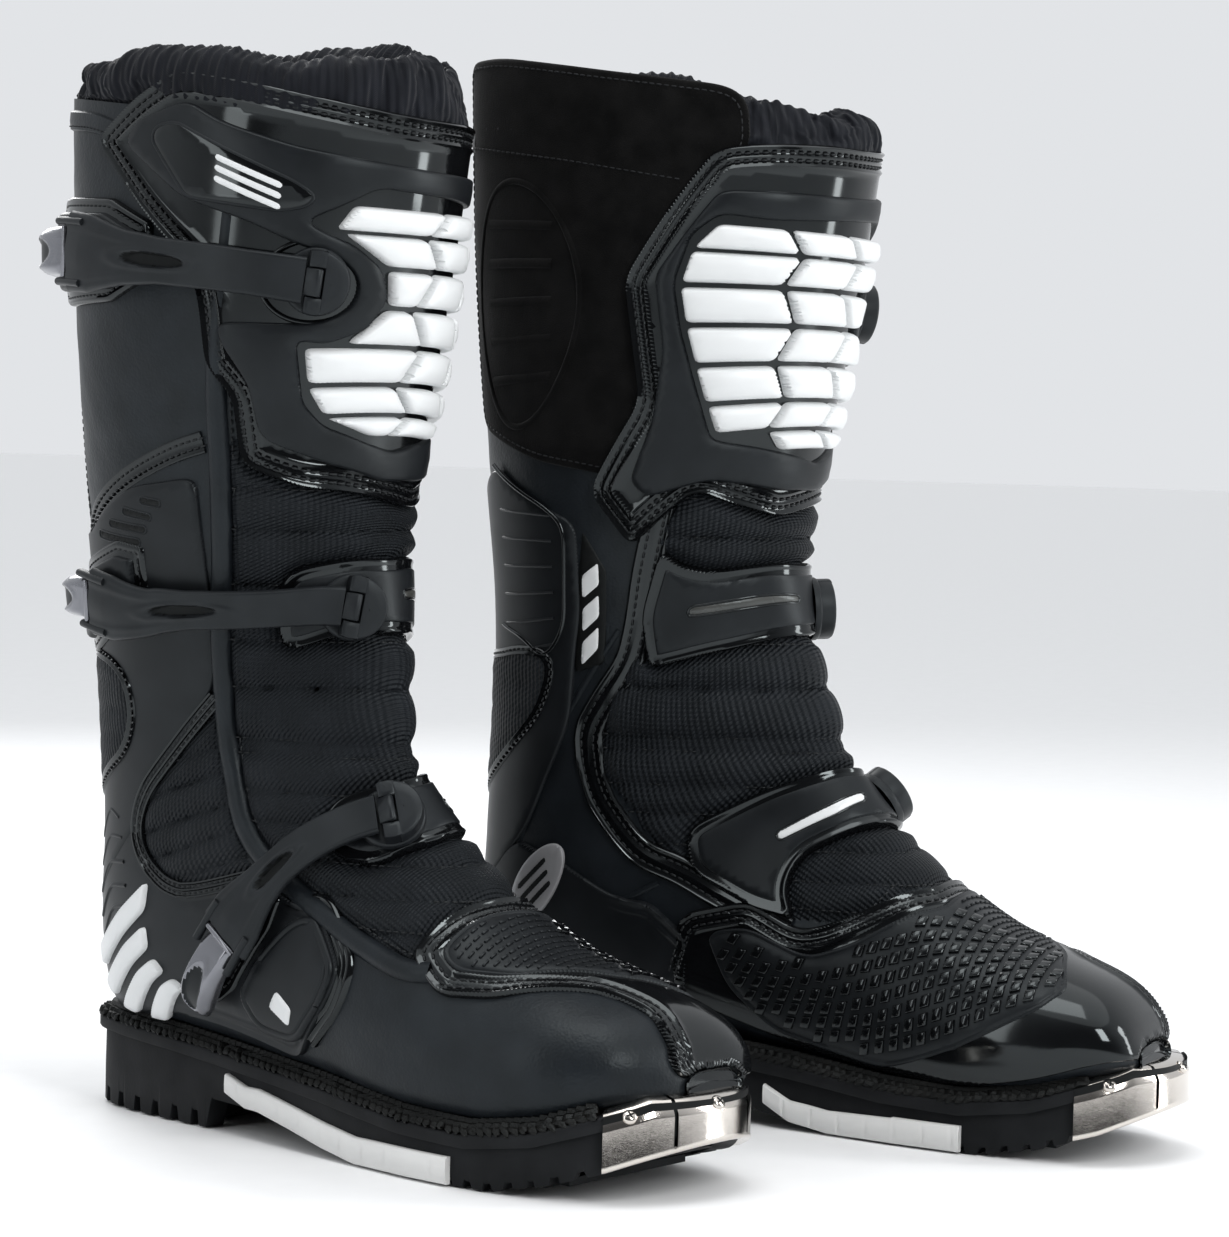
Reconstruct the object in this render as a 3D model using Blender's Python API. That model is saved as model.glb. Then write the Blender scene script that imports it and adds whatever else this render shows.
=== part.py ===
"""A pair of motocross riding boots, size EU 44, standing on a floor.

Units are metres, +Z is up and the toes point towards -Y. The right boot stands at -X.
Each boot is modelled in its own frame: X across (lateral side of the right boot at +X),
Y forward from the heel, Z up from the floor. The left boot is the mirror image.

The outer leather of a boot is one loft. A point on it is (station, angle): the station
runs from 0 at the toe tip, through 9 at the heel corner, to 18 at the top of the leg, and
the angle runs round the section from the front ridge, positive towards the lateral side.
Every cover, strap and buckle is laid on that loft at a stated height above the leather.
"""

import math

import bmesh
import bpy
from mathutils import Matrix, Vector
from mathutils.geometry import delaunay_2d_cdt

MM = 0.001

# Stance of the pair
SPLAY = math.radians(5.5)
LEFT_HEEL_ACROSS = 134.6 * MM
LEFT_HEEL_AHEAD = 98.2 * MM

# Layers, as heights above the outer face of the leather
LEATHER = 2.4 * MM
LINER = 2.0 * MM
LINING_SPACE = 1.2 * MM  # keeps the facets of the lining clear of the leather's
GAP = 0.3                # between neighbours, in mm
REST = 1.5 * MM          # underside of a cover, clear of the leather's flat facets
COVER = 2.2 * MM         # thickness of a moulded cover
STRAP = 2.4 * MM
AROUND = 20              # facets round a section

# Sections of the loft in mm: front point (y, z), back or bottom point (y, z), lateral and
# medial half widths, shift of the centre line, widest place from front to back, and the
# roundness of the front and of the back half (2 is an ellipse, more is squarer).
SECTIONS = (
    (296, 46, 297, 38, 14, 20, -4.0, 0.60, 2.40, 3.2),
    (291, 57, 293, 36, 27, 31, -3.0, 0.60, 2.40, 3.2),
    (279, 67, 282, 32, 40, 40, -1.0, 0.62, 2.30, 3.4),
    (256, 75, 260, 25, 50, 46, 1.0, 0.64, 2.20, 3.6),
    (228, 84, 230, 21, 54, 46, 2.0, 0.66, 2.05, 3.8),
    (200, 101, 194, 22, 52, 43, 4.0, 0.68, 2.05, 3.8),
    (181, 117, 148, 27, 46, 39, 5.0, 0.66, 2.00, 3.6),
    (165, 134, 101, 31, 40, 37, 6.0, 0.62, 1.85, 3.2),
    (151, 153, 54, 35, 37, 36, 6.5, 0.60, 1.75, 2.8),
    (142, 177, 13, 37, 36, 38, 4.5, 0.58, 1.85, 2.6),
    (136, 201, -5, 63, 37, 40, 0.0, 0.55, 2.00, 2.4),
    (132, 223, -5, 109, 41, 43, -1.0, 0.52, 2.10, 2.3),
    (130, 242, -3, 159, 47, 46, 0.5, 0.50, 2.15, 2.3),
    (131, 261, -4, 210, 53, 50, 2.0, 0.50, 2.25, 2.3),
    (134, 286, -9, 257, 57, 53, 2.3, 0.50, 2.25, 2.3),
    (140, 316, -14, 304, 61, 56, 2.5, 0.50, 2.25, 2.3),
    (146, 346, -17.5, 346, 62.5, 57.5, 2.4, 0.50, 2.20, 2.3),
    (151, 376, -20, 388, 63, 58.5, 2.2, 0.50, 2.20, 2.3),
    (155, 404, -22, 426, 63.5, 59, 2.0, 0.50, 2.20, 2.3),
)
TOP = 17.55              # station of the leather's top edge
ANKLE_SEAM = 9.6         # station where the foot upper meets the leg
ANKLE_TOP = 10.6         # below this the sections fan out, and covers take finer rows
FINE_ROWS = 0.5
EDGE_CLEARANCE = 0.25    # inner points of a cover keep this share of a facet off its edge

# Plan of the sole in mm: distance from the heel, lateral edge, medial edge
SOLE_PLAN = (
    (-8, 9, -8), (-5, 18, -17), (4, 26, -25), (20, 32, -31), (45, 36.5, -34.5),
    (75, 39, -36), (100, 42, -36.5), (130, 46, -37), (165, 52, -40), (200, 57, -45),
    (230, 58.5, -47.5), (255, 56, -47.5), (272, 51, -45.5), (286, 43, -40), (296, 32, -31),
    (303, 18, -19), (306, 6, -9),
)
# Height of the ground side of the sole in mm at a distance from the heel: the heel block
# ends at 76, the arch is clear of the floor, and the toe springs up.
SOLE_BOTTOM = (
    (-8, 2), (0, 0), (76, 0), (82, 12), (110, 11), (150, 3), (170, 0), (238, 0), (262, 4),
    (286, 11), (306, 16),
)
WELT = 5.5               # thickness of the midsole and welt layer, in mm
OUTSOLE_INSET = 2.8      # the outsole's sides behind the welt's edge, in mm
SHANK = (60, 205, 12, 1.6)           # from, to, half width and thickness, in mm
FOOTBED = (24, 268, 22, 11.5, 15)    # from, to, inset, and underside and top over the seat, in mm
INSERT_DEPTH = 2.4       # in mm, as are the next two
INSERT_HEIGHT = 9
GUARD = (1.2, 0.4, 2.6)  # toe guard: plate thickness, gap to the sole, reach of the flange
COLLAR_FOOT = 17.62      # station where the elastic collar stands
COLLAR_RISE = 14 * MM
COLLAR_CLOTH = 4.0       # thickness of the gathered cloth, in mm
COLLAR_TUCKS = ((0, 1.2), (0.5, 3.0), (1.0, 8.0))    # (share of the rise, inward tuck in mm)
PAD_LIFT = 2.0 * MM      # shin pads over the shin plate, clear of its facets
PAD_HEIGHT = 3.6 * MM


def mix(a, b, t):
    return a + (b - a) * t


def catmull(rows, u):
    """The row of numbers at u, on a smooth curve through the rows."""
    last = len(rows) - 1
    i = min(int(u), last - 1)
    t = u - i
    near = [rows[max(0, min(last, i + k))] for k in (-1, 0, 1, 2)]
    weights = (
        -t + 2 * t ** 2 - t ** 3,
        2 - 5 * t ** 2 + 3 * t ** 3,
        t + 4 * t ** 2 - 3 * t ** 3,
        t ** 3 - t ** 2,
    )
    return [sum(w * row[k] for w, row in zip(weights, near)) / 2 for k in range(len(rows[0]))]


def table(rows, x):
    """Straight-line reading of a table of (x, value) rows."""
    for (x0, v0), (x1, v1) in zip(rows, rows[1:]):
        if x <= x1:
            return mix(v0, v1, (x - x0) / (x1 - x0))
    return rows[-1][1]


def skin(u, angle):
    """Point of the leather's outer face at a station and an angle in degrees."""
    fy, fz, by, bz, lateral, medial, shift, widest, front, back = catmull(SECTIONS, u)
    s = math.sin(math.radians(angle))
    c = math.cos(math.radians(angle))
    power = 2 / (front if c >= 0 else back)
    x = shift + math.copysign(abs(s) ** power, s) * (lateral if s >= 0 else medial)
    depth = widest - math.copysign(abs(c) ** power, c) * (widest if c >= 0 else 1 - widest)
    return Vector((x, mix(fy, by, depth), mix(fz, bz, depth))) * MM


def normal(u, angle):
    """Outward direction of the leather there."""
    along = skin(min(u + 0.1, 18), angle) - skin(max(u - 0.1, 0), angle)
    around = skin(u, angle + 3) - skin(u, angle - 3)
    return along.cross(around).normalized()


def lifted(u, angle, height):
    return skin(u, angle) + normal(u, angle) * height


# ---------------------------------------------------------------- scene and meshes

def clear_scene():
    for obj in list(bpy.data.objects):
        bpy.data.objects.remove(obj, do_unlink=True)


def new_collection(name):
    made = bpy.data.collections.new(name)
    bpy.context.scene.collection.children.link(made)
    return made


def material(name, colour, roughness, metallic=0.0):
    made = bpy.data.materials.new(name)
    made.use_nodes = True
    shader = made.node_tree.nodes["Principled BSDF"]
    shader.inputs["Base Color"].default_value = (*colour, 1)
    shader.inputs["Roughness"].default_value = roughness
    shader.inputs["Metallic"].default_value = metallic
    return made


def two_skins(outer, inner, closed, cap_first=False):
    """A bmesh solid between two matching grids of points, rows first."""
    rows = len(outer)
    cols = len(outer[0])
    bm = bmesh.new()
    out = [[bm.verts.new(p) for p in row] for row in outer]
    inn = [[bm.verts.new(p) for p in row] for row in inner]
    spans = cols if closed else cols - 1
    for i in range(rows - 1):
        for j in range(spans):
            k = (j + 1) % cols
            bm.faces.new((out[i][j], out[i][k], out[i + 1][k], out[i + 1][j]))
            bm.faces.new((inn[i][j], inn[i + 1][j], inn[i + 1][k], inn[i][k]))
    for j in range(spans):
        k = (j + 1) % cols
        bm.faces.new((out[-1][j], out[-1][k], inn[-1][k], inn[-1][j]))
        if not cap_first:
            bm.faces.new((out[0][j], inn[0][j], inn[0][k], out[0][k]))
    if cap_first:
        bm.faces.new(out[0])
        bm.faces.new(inn[0])
    if not closed:
        for i in range(rows - 1):
            bm.faces.new((out[i][0], out[i + 1][0], inn[i + 1][0], inn[i][0]))
            bm.faces.new((out[i][-1], inn[i][-1], inn[i + 1][-1], out[i + 1][-1]))
    bmesh.ops.recalc_face_normals(bm, faces=bm.faces)
    return bm


def swept(sections):
    """A bmesh solid through a list of matching closed sections, with flat ends."""
    bm = bmesh.new()
    rings = [[bm.verts.new(p) for p in ring] for ring in sections]
    count = len(rings[0])
    for low, high in zip(rings, rings[1:]):
        for j in range(count):
            k = (j + 1) % count
            bm.faces.new((low[j], low[k], high[k], high[j]))
    bm.faces.new(rings[0])
    bm.faces.new(rings[-1])
    bmesh.ops.recalc_face_normals(bm, faces=bm.faces)
    return bm


def inside(point, outline):
    hit = False
    for (x0, y0), (x1, y1) in zip(outline, outline[1:] + outline[:1]):
        if (y0 > point[1]) == (y1 > point[1]):
            continue
        if point[0] < mix(x0, x1, (point[1] - y0) / (y1 - y0)):
            hit = not hit
    return hit


def steps_within(values, step):
    """The multiples of a step that lie within the range of the values."""
    return [k * step for k in range(math.ceil(min(values) / step), int(max(values) / step) + 1)]


def panel(outline, low, high):
    """A cover of an (station, angle) outline, between two heights above the leather."""
    angle_step = 360 / AROUND
    row_step = FINE_ROWS if min(u for u, a in outline) < ANKLE_TOP else 1.0
    edge = []
    for (u0, a0), (u1, a1) in zip(outline, outline[1:] + outline[:1]):
        pieces = max(1, round(max(abs(u1 - u0) / row_step, abs(a1 - a0) / angle_step)))
        edge += [(mix(u0, u1, k / pieces), mix(a0, a1, k / pieces)) for k in range(pieces)]
    scale = angle_step / row_step
    flat = [Vector((u * scale, a)) for u, a in edge]
    for u in steps_within([u for u, a in edge], row_step):
        for a in steps_within([a for u, a in edge], angle_step):
            here = Vector((u * scale, a))
            clear = min((here - p).length for p in flat[:len(edge)]) > EDGE_CLEARANCE * angle_step
            if clear and inside((u, a), edge):
                flat.append(here)
    border = [(k, (k + 1) % len(edge)) for k in range(len(edge))]
    verts, _, faces, _, _, _ = delaunay_2d_cdt(flat, border, [list(range(len(edge)))], 1, 1e-6)
    spots = [(v.x / scale, v.y) for v in verts]
    bm = bmesh.new()
    top = [bm.verts.new(lifted(u, a, high)) for u, a in spots]
    bottom = [bm.verts.new(lifted(u, a, low)) for u, a in spots]
    used = {}
    for face in faces:
        bm.faces.new([top[k] for k in face])
        bm.faces.new([bottom[k] for k in reversed(face)])
        for p, q in zip(face, list(face[1:]) + [face[0]]):
            used[(p, q)] = used.get((p, q), 0) + 1
    for p, q in used:
        if (q, p) not in used:
            bm.faces.new((top[q], top[p], bottom[p], bottom[q]))
    loose = [v for v in bm.verts if not v.link_faces]
    bmesh.ops.delete(bm, geom=loose, context="VERTS")
    bmesh.ops.recalc_face_normals(bm, faces=bm.faces)
    return bm


class Boot:
    """One boot: the empty that places it, and the side it is for."""

    def __init__(self, side, parts, cutters, finishes):
        self.side = side
        self.mirror = side == "left"
        self.parts = parts
        self.cutters = cutters
        self.finishes = finishes
        self.frame = bpy.data.objects.new(side + "_boot_frame", None)
        parts.objects.link(self.frame)
        turn = math.pi + (SPLAY if self.mirror else -SPLAY)
        self.frame.rotation_euler = (0, 0, turn)

    def own(self, point):
        """A point of the right boot's frame, in this boot's frame."""
        return Vector((-point[0], point[1], point[2])) if self.mirror else Vector(point)

    def add(self, name, bm, finish, hinge=None, cutter=False):
        """Makes the object of a bmesh in the right boot's frame, and frees the bmesh.

        A piece with a hinge has its origin on the pin and its Z axis along it, so that
        a positive turn about Z opens it.
        """
        start, pin = hinge if hinge else (Vector((0, 0, 0)), None)
        turn = Matrix.Identity(3)
        if pin:
            along = self.own(pin) * (-1 if self.mirror else 1)
            turn = along.to_track_quat("Z", "Y").to_matrix()
        for vert in bm.verts:
            vert.co = turn.transposed() @ self.own(vert.co - start)
        if self.mirror:
            bmesh.ops.reverse_faces(bm, faces=bm.faces)
        mesh = bpy.data.meshes.new(name)
        bm.to_mesh(mesh)
        bm.free()
        mesh.shade_smooth()
        mesh.set_sharp_from_angle(angle=math.radians(40))
        obj = bpy.data.objects.new(self.side + "_" + name, mesh)
        (self.cutters if cutter else self.parts).objects.link(obj)
        obj.parent = self.frame
        obj.location = self.own(start)
        obj.rotation_euler = turn.to_euler()
        if cutter:
            obj.hide_render = True
            obj.display_type = "WIRE"
        else:
            mesh.materials.append(self.finishes[finish])
        return obj


def boolean(obj, other, operation):
    step = obj.modifiers.new(operation.lower(), "BOOLEAN")
    step.operation = operation
    step.object = other


# ---------------------------------------------------------------- leather and lining

RING = [360 * k / AROUND for k in range(AROUND)]
LEG_ROWS = [ANKLE_SEAM + 0.02, 10, 11, 12, 13, 14, 15, 16, 17, TOP]
FOOT_ROWS = [0, 1, 2, 3, 4, 5, 6, 7, 8, 9, ANKLE_SEAM - 0.02]


LINING_ROWS = [2, 3, 4, 5, 6, 7, 8, 9, ANKLE_SEAM, 10, 11, 12, 13, 14, 16, 17.4]


def tube(rows, outer, inner, toe=False):
    """A sleeve of the loft between two heights; with a toe, its first row is closed."""
    grids = [[[lifted(u, a, height) for a in RING] for u in rows] for height in (outer, inner)]
    if toe:
        set_back = Vector((0, inner, 0))
        grids[1][0] = [p + set_back for p in grids[1][0]]
    return two_skins(grids[0], grids[1], True, toe)


def make_leather(boot):
    boot.add("foot_upper", tube(FOOT_ROWS, 0, -LEATHER, toe=True), "leather")
    boot.add("leg_shaft", tube(LEG_ROWS, 0, -LEATHER), "leather")
    depth = LEATHER + LINING_SPACE
    boot.add("inner_liner", tube(LINING_ROWS, -depth, -depth - LINER, toe=True), "lining")


def make_gaiter(boot):
    """Elastic collar: gathered cloth that stands out of the top of the leg."""
    outer = []
    inner = []
    for height, tuck in COLLAR_TUCKS:
        up = Vector((0, 0, COLLAR_RISE * height))
        outer.append([lifted(COLLAR_FOOT, a, -tuck * MM) + up for a in RING])
        inner.append([lifted(COLLAR_FOOT, a, -(tuck + COLLAR_CLOTH) * MM) + up for a in RING])
    boot.add("gaiter", two_skins(outer, inner, True), "elastic")


# ---------------------------------------------------------------- sole

def sole_rows(first, last):
    """Rows of (y, lateral, medial) of the sole's plan between two distances from the heel."""
    lateral = [(y, a) for y, a, b in SOLE_PLAN]
    medial = [(y, b) for y, a, b in SOLE_PLAN]
    inner = [y for y, a, b in SOLE_PLAN if first < y < last]
    inner += [y for y, z in SOLE_BOTTOM if first < y < last]
    spots = [first] + sorted(set(inner)) + [last]
    return [(y, table(lateral, y), table(medial, y)) for y in spots]


def seat_height(y):
    """Underside of the upper, in mm, at a distance from the heel."""
    line = sorted((row[2], row[3]) for row in SECTIONS[:10])
    return table([(-20, 37)] + line + [(320, 38)], y)


def slab(first, last, low, high, inset):
    """Part of the sole between two height functions of y, all in mm."""
    rings = []
    for y, lateral, medial in sole_rows(first, last):
        wide = max(lateral - inset, 2)
        narrow = min(medial + inset, -2)
        corners = ((narrow, low(y)), (wide, low(y)), (wide, high(y)), (narrow, high(y)))
        rings.append([Vector((x, y, z)) * MM for x, z in corners])
    return swept(rings)


def ground(y):
    return table(SOLE_BOTTOM, y)


def welt_top(y):
    return seat_height(y) - 0.5


def welt_low(y):
    return welt_top(y) - WELT


def strip(start, end, half, low, high):
    """A flat bar under the welt, between two heights over its place in the shank channel."""
    rings = []
    pieces = 6
    for k in range(pieces + 1):
        y = mix(start, end, k / pieces)
        corners = ((-half, low), (half, low), (half, high), (-half, high))
        rings.append([Vector((x, y, welt_low(y) - 2 * GAP + z)) * MM for x, z in corners])
    return swept(rings)


def make_sole(boot):
    first = SOLE_PLAN[0][0]
    last = SOLE_PLAN[-1][0]
    boot.add("midsole", slab(first, last, welt_low, welt_top, 0), "rubber")
    body = slab(first + 2, last - 2, ground, lambda y: welt_low(y) - GAP, OUTSOLE_INSET)
    outsole = boot.add("outsole", body, "rubber")

    start, end, half, thick = SHANK
    boot.add("shank", strip(start, end, half, -thick, 0), "steel")
    channel = strip(start - 1, end + 1, half + 0.5, -thick - 0.4, 3)
    boolean(outsole, boot.add("shank_channel", channel, None, cutter=True), "DIFFERENCE")

    start, end, inset, low, high = FOOTBED
    footbed = slab(start, end, lambda y: seat_height(y) + low, lambda y: seat_height(y) + high, inset)
    boot.add("footbed", footbed, "foam")
    make_insert(boot, "sole_insert_lateral", 96, 220, 1)
    make_insert(boot, "sole_insert_medial", 144, 228, 2)


def make_insert(boot, name, start, end, column):
    """Pale wear strip let into the side of the sole under the arch and the ball."""
    edge = [(row[0], row[column]) for row in SOLE_PLAN]
    outward = 1 if column == 1 else -1
    rings = []
    pieces = 7
    for k in range(pieces + 1):
        y = mix(start, end, k / pieces)
        x = table(edge, y)
        low = ground(y) + 0.8
        high = min(welt_low(y) - 2 * GAP, low + INSERT_HEIGHT)
        inner = x - outward * INSERT_DEPTH
        corners = ((inner, low), (x, low), (x, high), (inner, high))
        rings.append([Vector((px, y, pz)) * MM for px, pz in corners])
    boot.add(name, swept(rings), "white_rubber")


def make_toe_guard(boot):
    """Bent steel plate round the front of the sole, with a flange over the welt."""
    plate, gap, flange = GUARD
    path = [(lateral, y) for y, lateral, medial in SOLE_PLAN[12:]]
    path += [(medial, y) for y, lateral, medial in reversed(SOLE_PLAN[12:])]
    path = path[1:]
    rings = []
    for k, (x, y) in enumerate(path):
        before = Vector(path[max(k - 1, 0)])
        after = Vector(path[min(k + 1, len(path) - 1)])
        ahead = (after - before).normalized()
        out = Vector((-ahead.y, ahead.x))
        spot = Vector((x, y))
        if out.dot(spot - Vector((0, 240))) < 0:
            out = -out
        low = ground(y) + 0.5
        high = seat_height(y) + 0.2
        profile = (
            (gap, low), (gap + plate, low), (gap + plate, high + plate),
            (-flange, high + plate), (-flange, high), (gap, high),
        )
        rings.append([Vector((*(spot + out * d), z)) * MM for d, z in profile])
    boot.add("toe_guard", swept(rings), "steel")


# ---------------------------------------------------------------- covers

COVERS = {
    "shin_plate": (
        "tpu",
        [(17.45, 112), (16.5, 91), (16.0, 78), (15.5, 73), (14.8, 71), (14.4, 62), (13.6, 60),
         (13.1, 37), (12.75, 0), (13.1, -30), (13.4, -55), (12.9, -80), (13.7, -92),
         (14.6, -78), (16.0, -84), (17.45, -62), (17.45, 0), (17.45, 60)],
    ),
    "burn_guard": (
        "suede",
        [(14.1, -97), (14.4, -120), (14.6, -150), (17.45, -150), (17.45, -66), (16.1, -88),
         (14.9, -83)],
    ),
    "rear_guard": (
        "tpu",
        [(11.2, 80), (12.6, 79), (13.5, 80), (13.85, 100), (13.6, 132), (13.8, 180), (13.9, 220),
         (13.4, 248), (12.4, 262), (11.4, 262), (10.5, 240), (10.35, 180), (10.45, 110)],
    ),
    "heel_counter": (
        "tpu",
        [(6.35, 78), (7.0, 68), (7.7, 76), (9.2, 88), (10.1, 104), (10.15, 180), (10.1, 236),
         (9.3, 256), (8.2, 264), (8.0, 220), (9.1, 207), (9.5, 180), (9.1, 153), (8.0, 142),
         (7.0, 134), (6.5, 129)],
    ),
    "foot_panel_medial": (
        "tpu",
        [(7.9, -92), (7.3, -66), (6.0, -72), (5.2, -45), (3.4, -34), (2.4, -52), (2.5, -96),
         (4.3, -112), (5.8, -120), (7.2, -124)],
    ),
    "toe_cover": (
        "tpu",
        [(5.15, 52), (4.6, 57), (3.2, 24), (2.0, 26), (1.2, 52), (0.7, 40), (0.6, 0), (0.7, -30),
         (1.4, -40), (2.4, -26), (3.4, -16), (4.9, -26), (5.3, 0)],
    ),
}


SHIN_PADS = [(17.0, 10), (15.9, 14), (15.2, 20), (14.7, 44), (14.1, 34), (13.6, 0), (14.3, -40),
             (15.6, -62), (17.0, -46), (16.4, 0)]


def make_covers(boot):
    for name, (finish, outline) in COVERS.items():
        boot.add(name, panel(outline, REST, REST + COVER), finish)
    low = REST + COVER + PAD_LIFT
    boot.add("shin_pads", panel(SHIN_PADS, low, low + PAD_HEIGHT), "white_tpu")


# ---------------------------------------------------------------- closures

# Each closure: the spots that its strap and lever run through as (station, angle), from the
# anchor disc over the strap's middle to its far end and on to the lever's tip, then the
# strap's width, the height at which it runs, and half the buckle base's length in stations.
CLOSURES = {
    "top": (((15.79, 37), (15.97, 75), (16.12, 116), (16.12, 142)), 22 * MM, 9.4 * MM, 0.42),
    "mid": (((10.69, 22), (11.87, 70), (12.76, 118), (12.96, 146)), 19 * MM, 9.0 * MM, 0.34),
    "low": (((7.09, 25), (7.68, 56), (7.74, 88), (7.62, 116)), 20 * MM, 9.6 * MM, 0.30),
}
FRONT_PLATES = {
    "mid": [(11.5, 48), (10.2, 56), (9.4, 0), (10.4, -60), (12.5, -72), (11.9, 0)],
    "low": [(8.2, 42), (7.0, 52), (5.75, 30), (5.6, 0), (5.9, -30), (7.7, -60), (8.7, -56),
            (8.2, 0)],
}
DISC = 13 * MM
DISC_LIFT = 1.0 * MM     # the top closure's disc over the shin plate
DISC_DROP = 2.7 * MM     # top of a disc below the strap that curves away over it
LEVER = 4.5 * MM         # rise of the lever's crown
LEVER_DROP = 1.5 * MM    # its underside below the strap's
LEVER_SHARE = 0.8        # its width as a share of the strap's
BASE_REACH = 20          # half the buckle base's width, in degrees
BASE_DROP = 2.6 * MM     # its top below the strap
JOIN = 0.03              # gap between a strap's end and its lever, as a share of the lever


def ribbon(spots, width, low, high, pieces, first, last):
    """Sections of a strip on a smooth path over the loft, from one spot of it to another."""
    rings = []
    nudge = 0.02
    for k in range(pieces + 1):
        t = mix(first, last, k / pieces)
        here = catmull(spots, t)
        near = catmull(spots, t - nudge) if t > 1 else here
        ahead = here if t > 1 else catmull(spots, t + nudge)
        up = normal(*here)
        along = (skin(*ahead) - skin(*near)).normalized()
        side = along.cross(up).normalized() * (width / 2)
        spot = skin(*here)
        corners = ((side, low), (-side, low), (-side, high), (side, high))
        rings.append([spot + across + up * height for across, height in corners])
    return rings


def cylinder(centre, axis, radius, low, high, sides=16):
    turn = axis.to_track_quat("Z", "Y").to_matrix().to_4x4()
    bm = bmesh.new()
    bmesh.ops.create_cone(
        bm, cap_ends=True, segments=sides, radius1=radius, radius2=radius, depth=high - low,
        matrix=Matrix.Translation(centre + axis * (low + high) / 2) @ turn,
    )
    return bm


def pin_of(rings):
    """Middle of the outer edge of a strip's front end, and that edge's direction."""
    edge = rings[0]
    return (edge[2] + edge[3]) / 2, (edge[3] - edge[2]).normalized()


def make_closure(boot, name):
    spots, width, height, half = CLOSURES[name]
    disc_low = REST + COVER + DISC_LIFT
    disc_top = height - DISC_DROP
    centre = skin(*spots[0])
    axis = normal(*spots[0])
    if name == "top":
        boot.add("anchor_disc_top", cylinder(centre, axis, DISC, disc_low, disc_top), "tpu")
    else:
        plate = boot.add("anchor_plate_" + name, panel(FRONT_PLATES[name], REST, REST + COVER), "tpu")
        boss = cylinder(centre, axis, DISC, REST + COVER / 2, disc_top)
        boolean(plate, boot.add("anchor_boss_" + name, boss, None, cutter=True), "UNION")

    strap = ribbon(spots, width, height, height + STRAP, 10, 0, 2 - JOIN)
    boot.add("strap_" + name, swept(strap), "strap", hinge=pin_of(strap))

    pieces = 4
    low = height - LEVER_DROP
    lever = ribbon(spots, width * LEVER_SHARE, low, height + STRAP, pieces, 2 + JOIN, 3)
    for k, ring in enumerate(lever):
        crown = (ring[2] - ring[1]).normalized() * math.sin(math.pi * k / pieces) * LEVER
        ring[2] += crown
        ring[3] += crown
    boot.add("lever_" + name, swept(lever), "silver", hinge=pin_of(lever))

    u, a = catmull(spots, 2.2)
    low = REST if name == "top" else REST + COVER + 0.8 * MM
    point = half * 1.2
    base = [
        (u - half, a - BASE_REACH), (u + half, a - BASE_REACH), (u + point, a),
        (u + half, a + BASE_REACH), (u - half, a + BASE_REACH), (u - point, a),
    ]
    boot.add("buckle_base_" + name, panel(base, low, height - BASE_DROP), "tpu")


# ---------------------------------------------------------------- the pair

def make_boot(side, parts, cutters, finishes):
    boot = Boot(side, parts, cutters, finishes)
    make_leather(boot)
    make_gaiter(boot)
    make_sole(boot)
    make_toe_guard(boot)
    make_covers(boot)
    for name in CLOSURES:
        make_closure(boot, name)
    return boot


def stand_on_origin(boots, parts):
    """Moves both boots so that the middle of their box stands on the origin."""
    bpy.context.view_layer.update()
    corners = [o.matrix_world @ Vector(c) for o in parts.objects if o.type == "MESH" for c in o.bound_box]
    low = [min(c[k] for c in corners) for k in range(3)]
    high = [max(c[k] for c in corners) for k in range(3)]
    shift = Vector(((low[0] + high[0]) / -2, (low[1] + high[1]) / -2, -low[2]))
    for boot in boots:
        boot.frame.location += shift
    bpy.context.view_layer.update()


def main():
    clear_scene()
    parts = new_collection("riding_boots")
    cutters = new_collection("cutters")
    finishes = {
        "leather": material("leather", (0.018, 0.020, 0.022), 0.55),
        "lining": material("lining", (0.03, 0.03, 0.03), 0.9),
        "elastic": material("elastic", (0.02, 0.02, 0.022), 0.85),
        "rubber": material("rubber", (0.015, 0.015, 0.015), 0.7),
        "foam": material("foam", (0.06, 0.06, 0.06), 0.95),
        "white_rubber": material("white_rubber", (0.8, 0.8, 0.78), 0.5),
        "white_tpu": material("white_tpu", (0.85, 0.86, 0.87), 0.3),
        "steel": material("steel", (0.75, 0.73, 0.7), 0.2, 1.0),
        "silver": material("silver", (0.6, 0.6, 0.62), 0.3, 0.6),
        "tpu": material("tpu", (0.012, 0.013, 0.015), 0.25),
        "strap": material("strap", (0.03, 0.032, 0.036), 0.45),
        "suede": material("suede", (0.03, 0.029, 0.028), 0.95),
    }
    right = make_boot("right", parts, cutters, finishes)
    left = make_boot("left", parts, cutters, finishes)
    left.frame.location = (LEFT_HEEL_ACROSS, -LEFT_HEEL_AHEAD, 0)
    stand_on_origin((right, left), parts)


main()
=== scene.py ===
"""Looks of a pair of motocross boots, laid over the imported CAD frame.

A boot is described in millimetres in the right boot's frame: X across with the lateral side
at +X, Y forward from the heel, Z up. The left boot is the same shape with X turned over.
A place on the outer leather is (station, angle), as in the CAD source, and (station, lane)
where lane runs evenly round each section: 0 front, 1 lateral, 2 back, -1 medial.
"""

import math

import bpy
import numpy as np
from mathutils import Matrix, Vector
from mathutils.geometry import delaunay_2d_cdt


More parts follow.
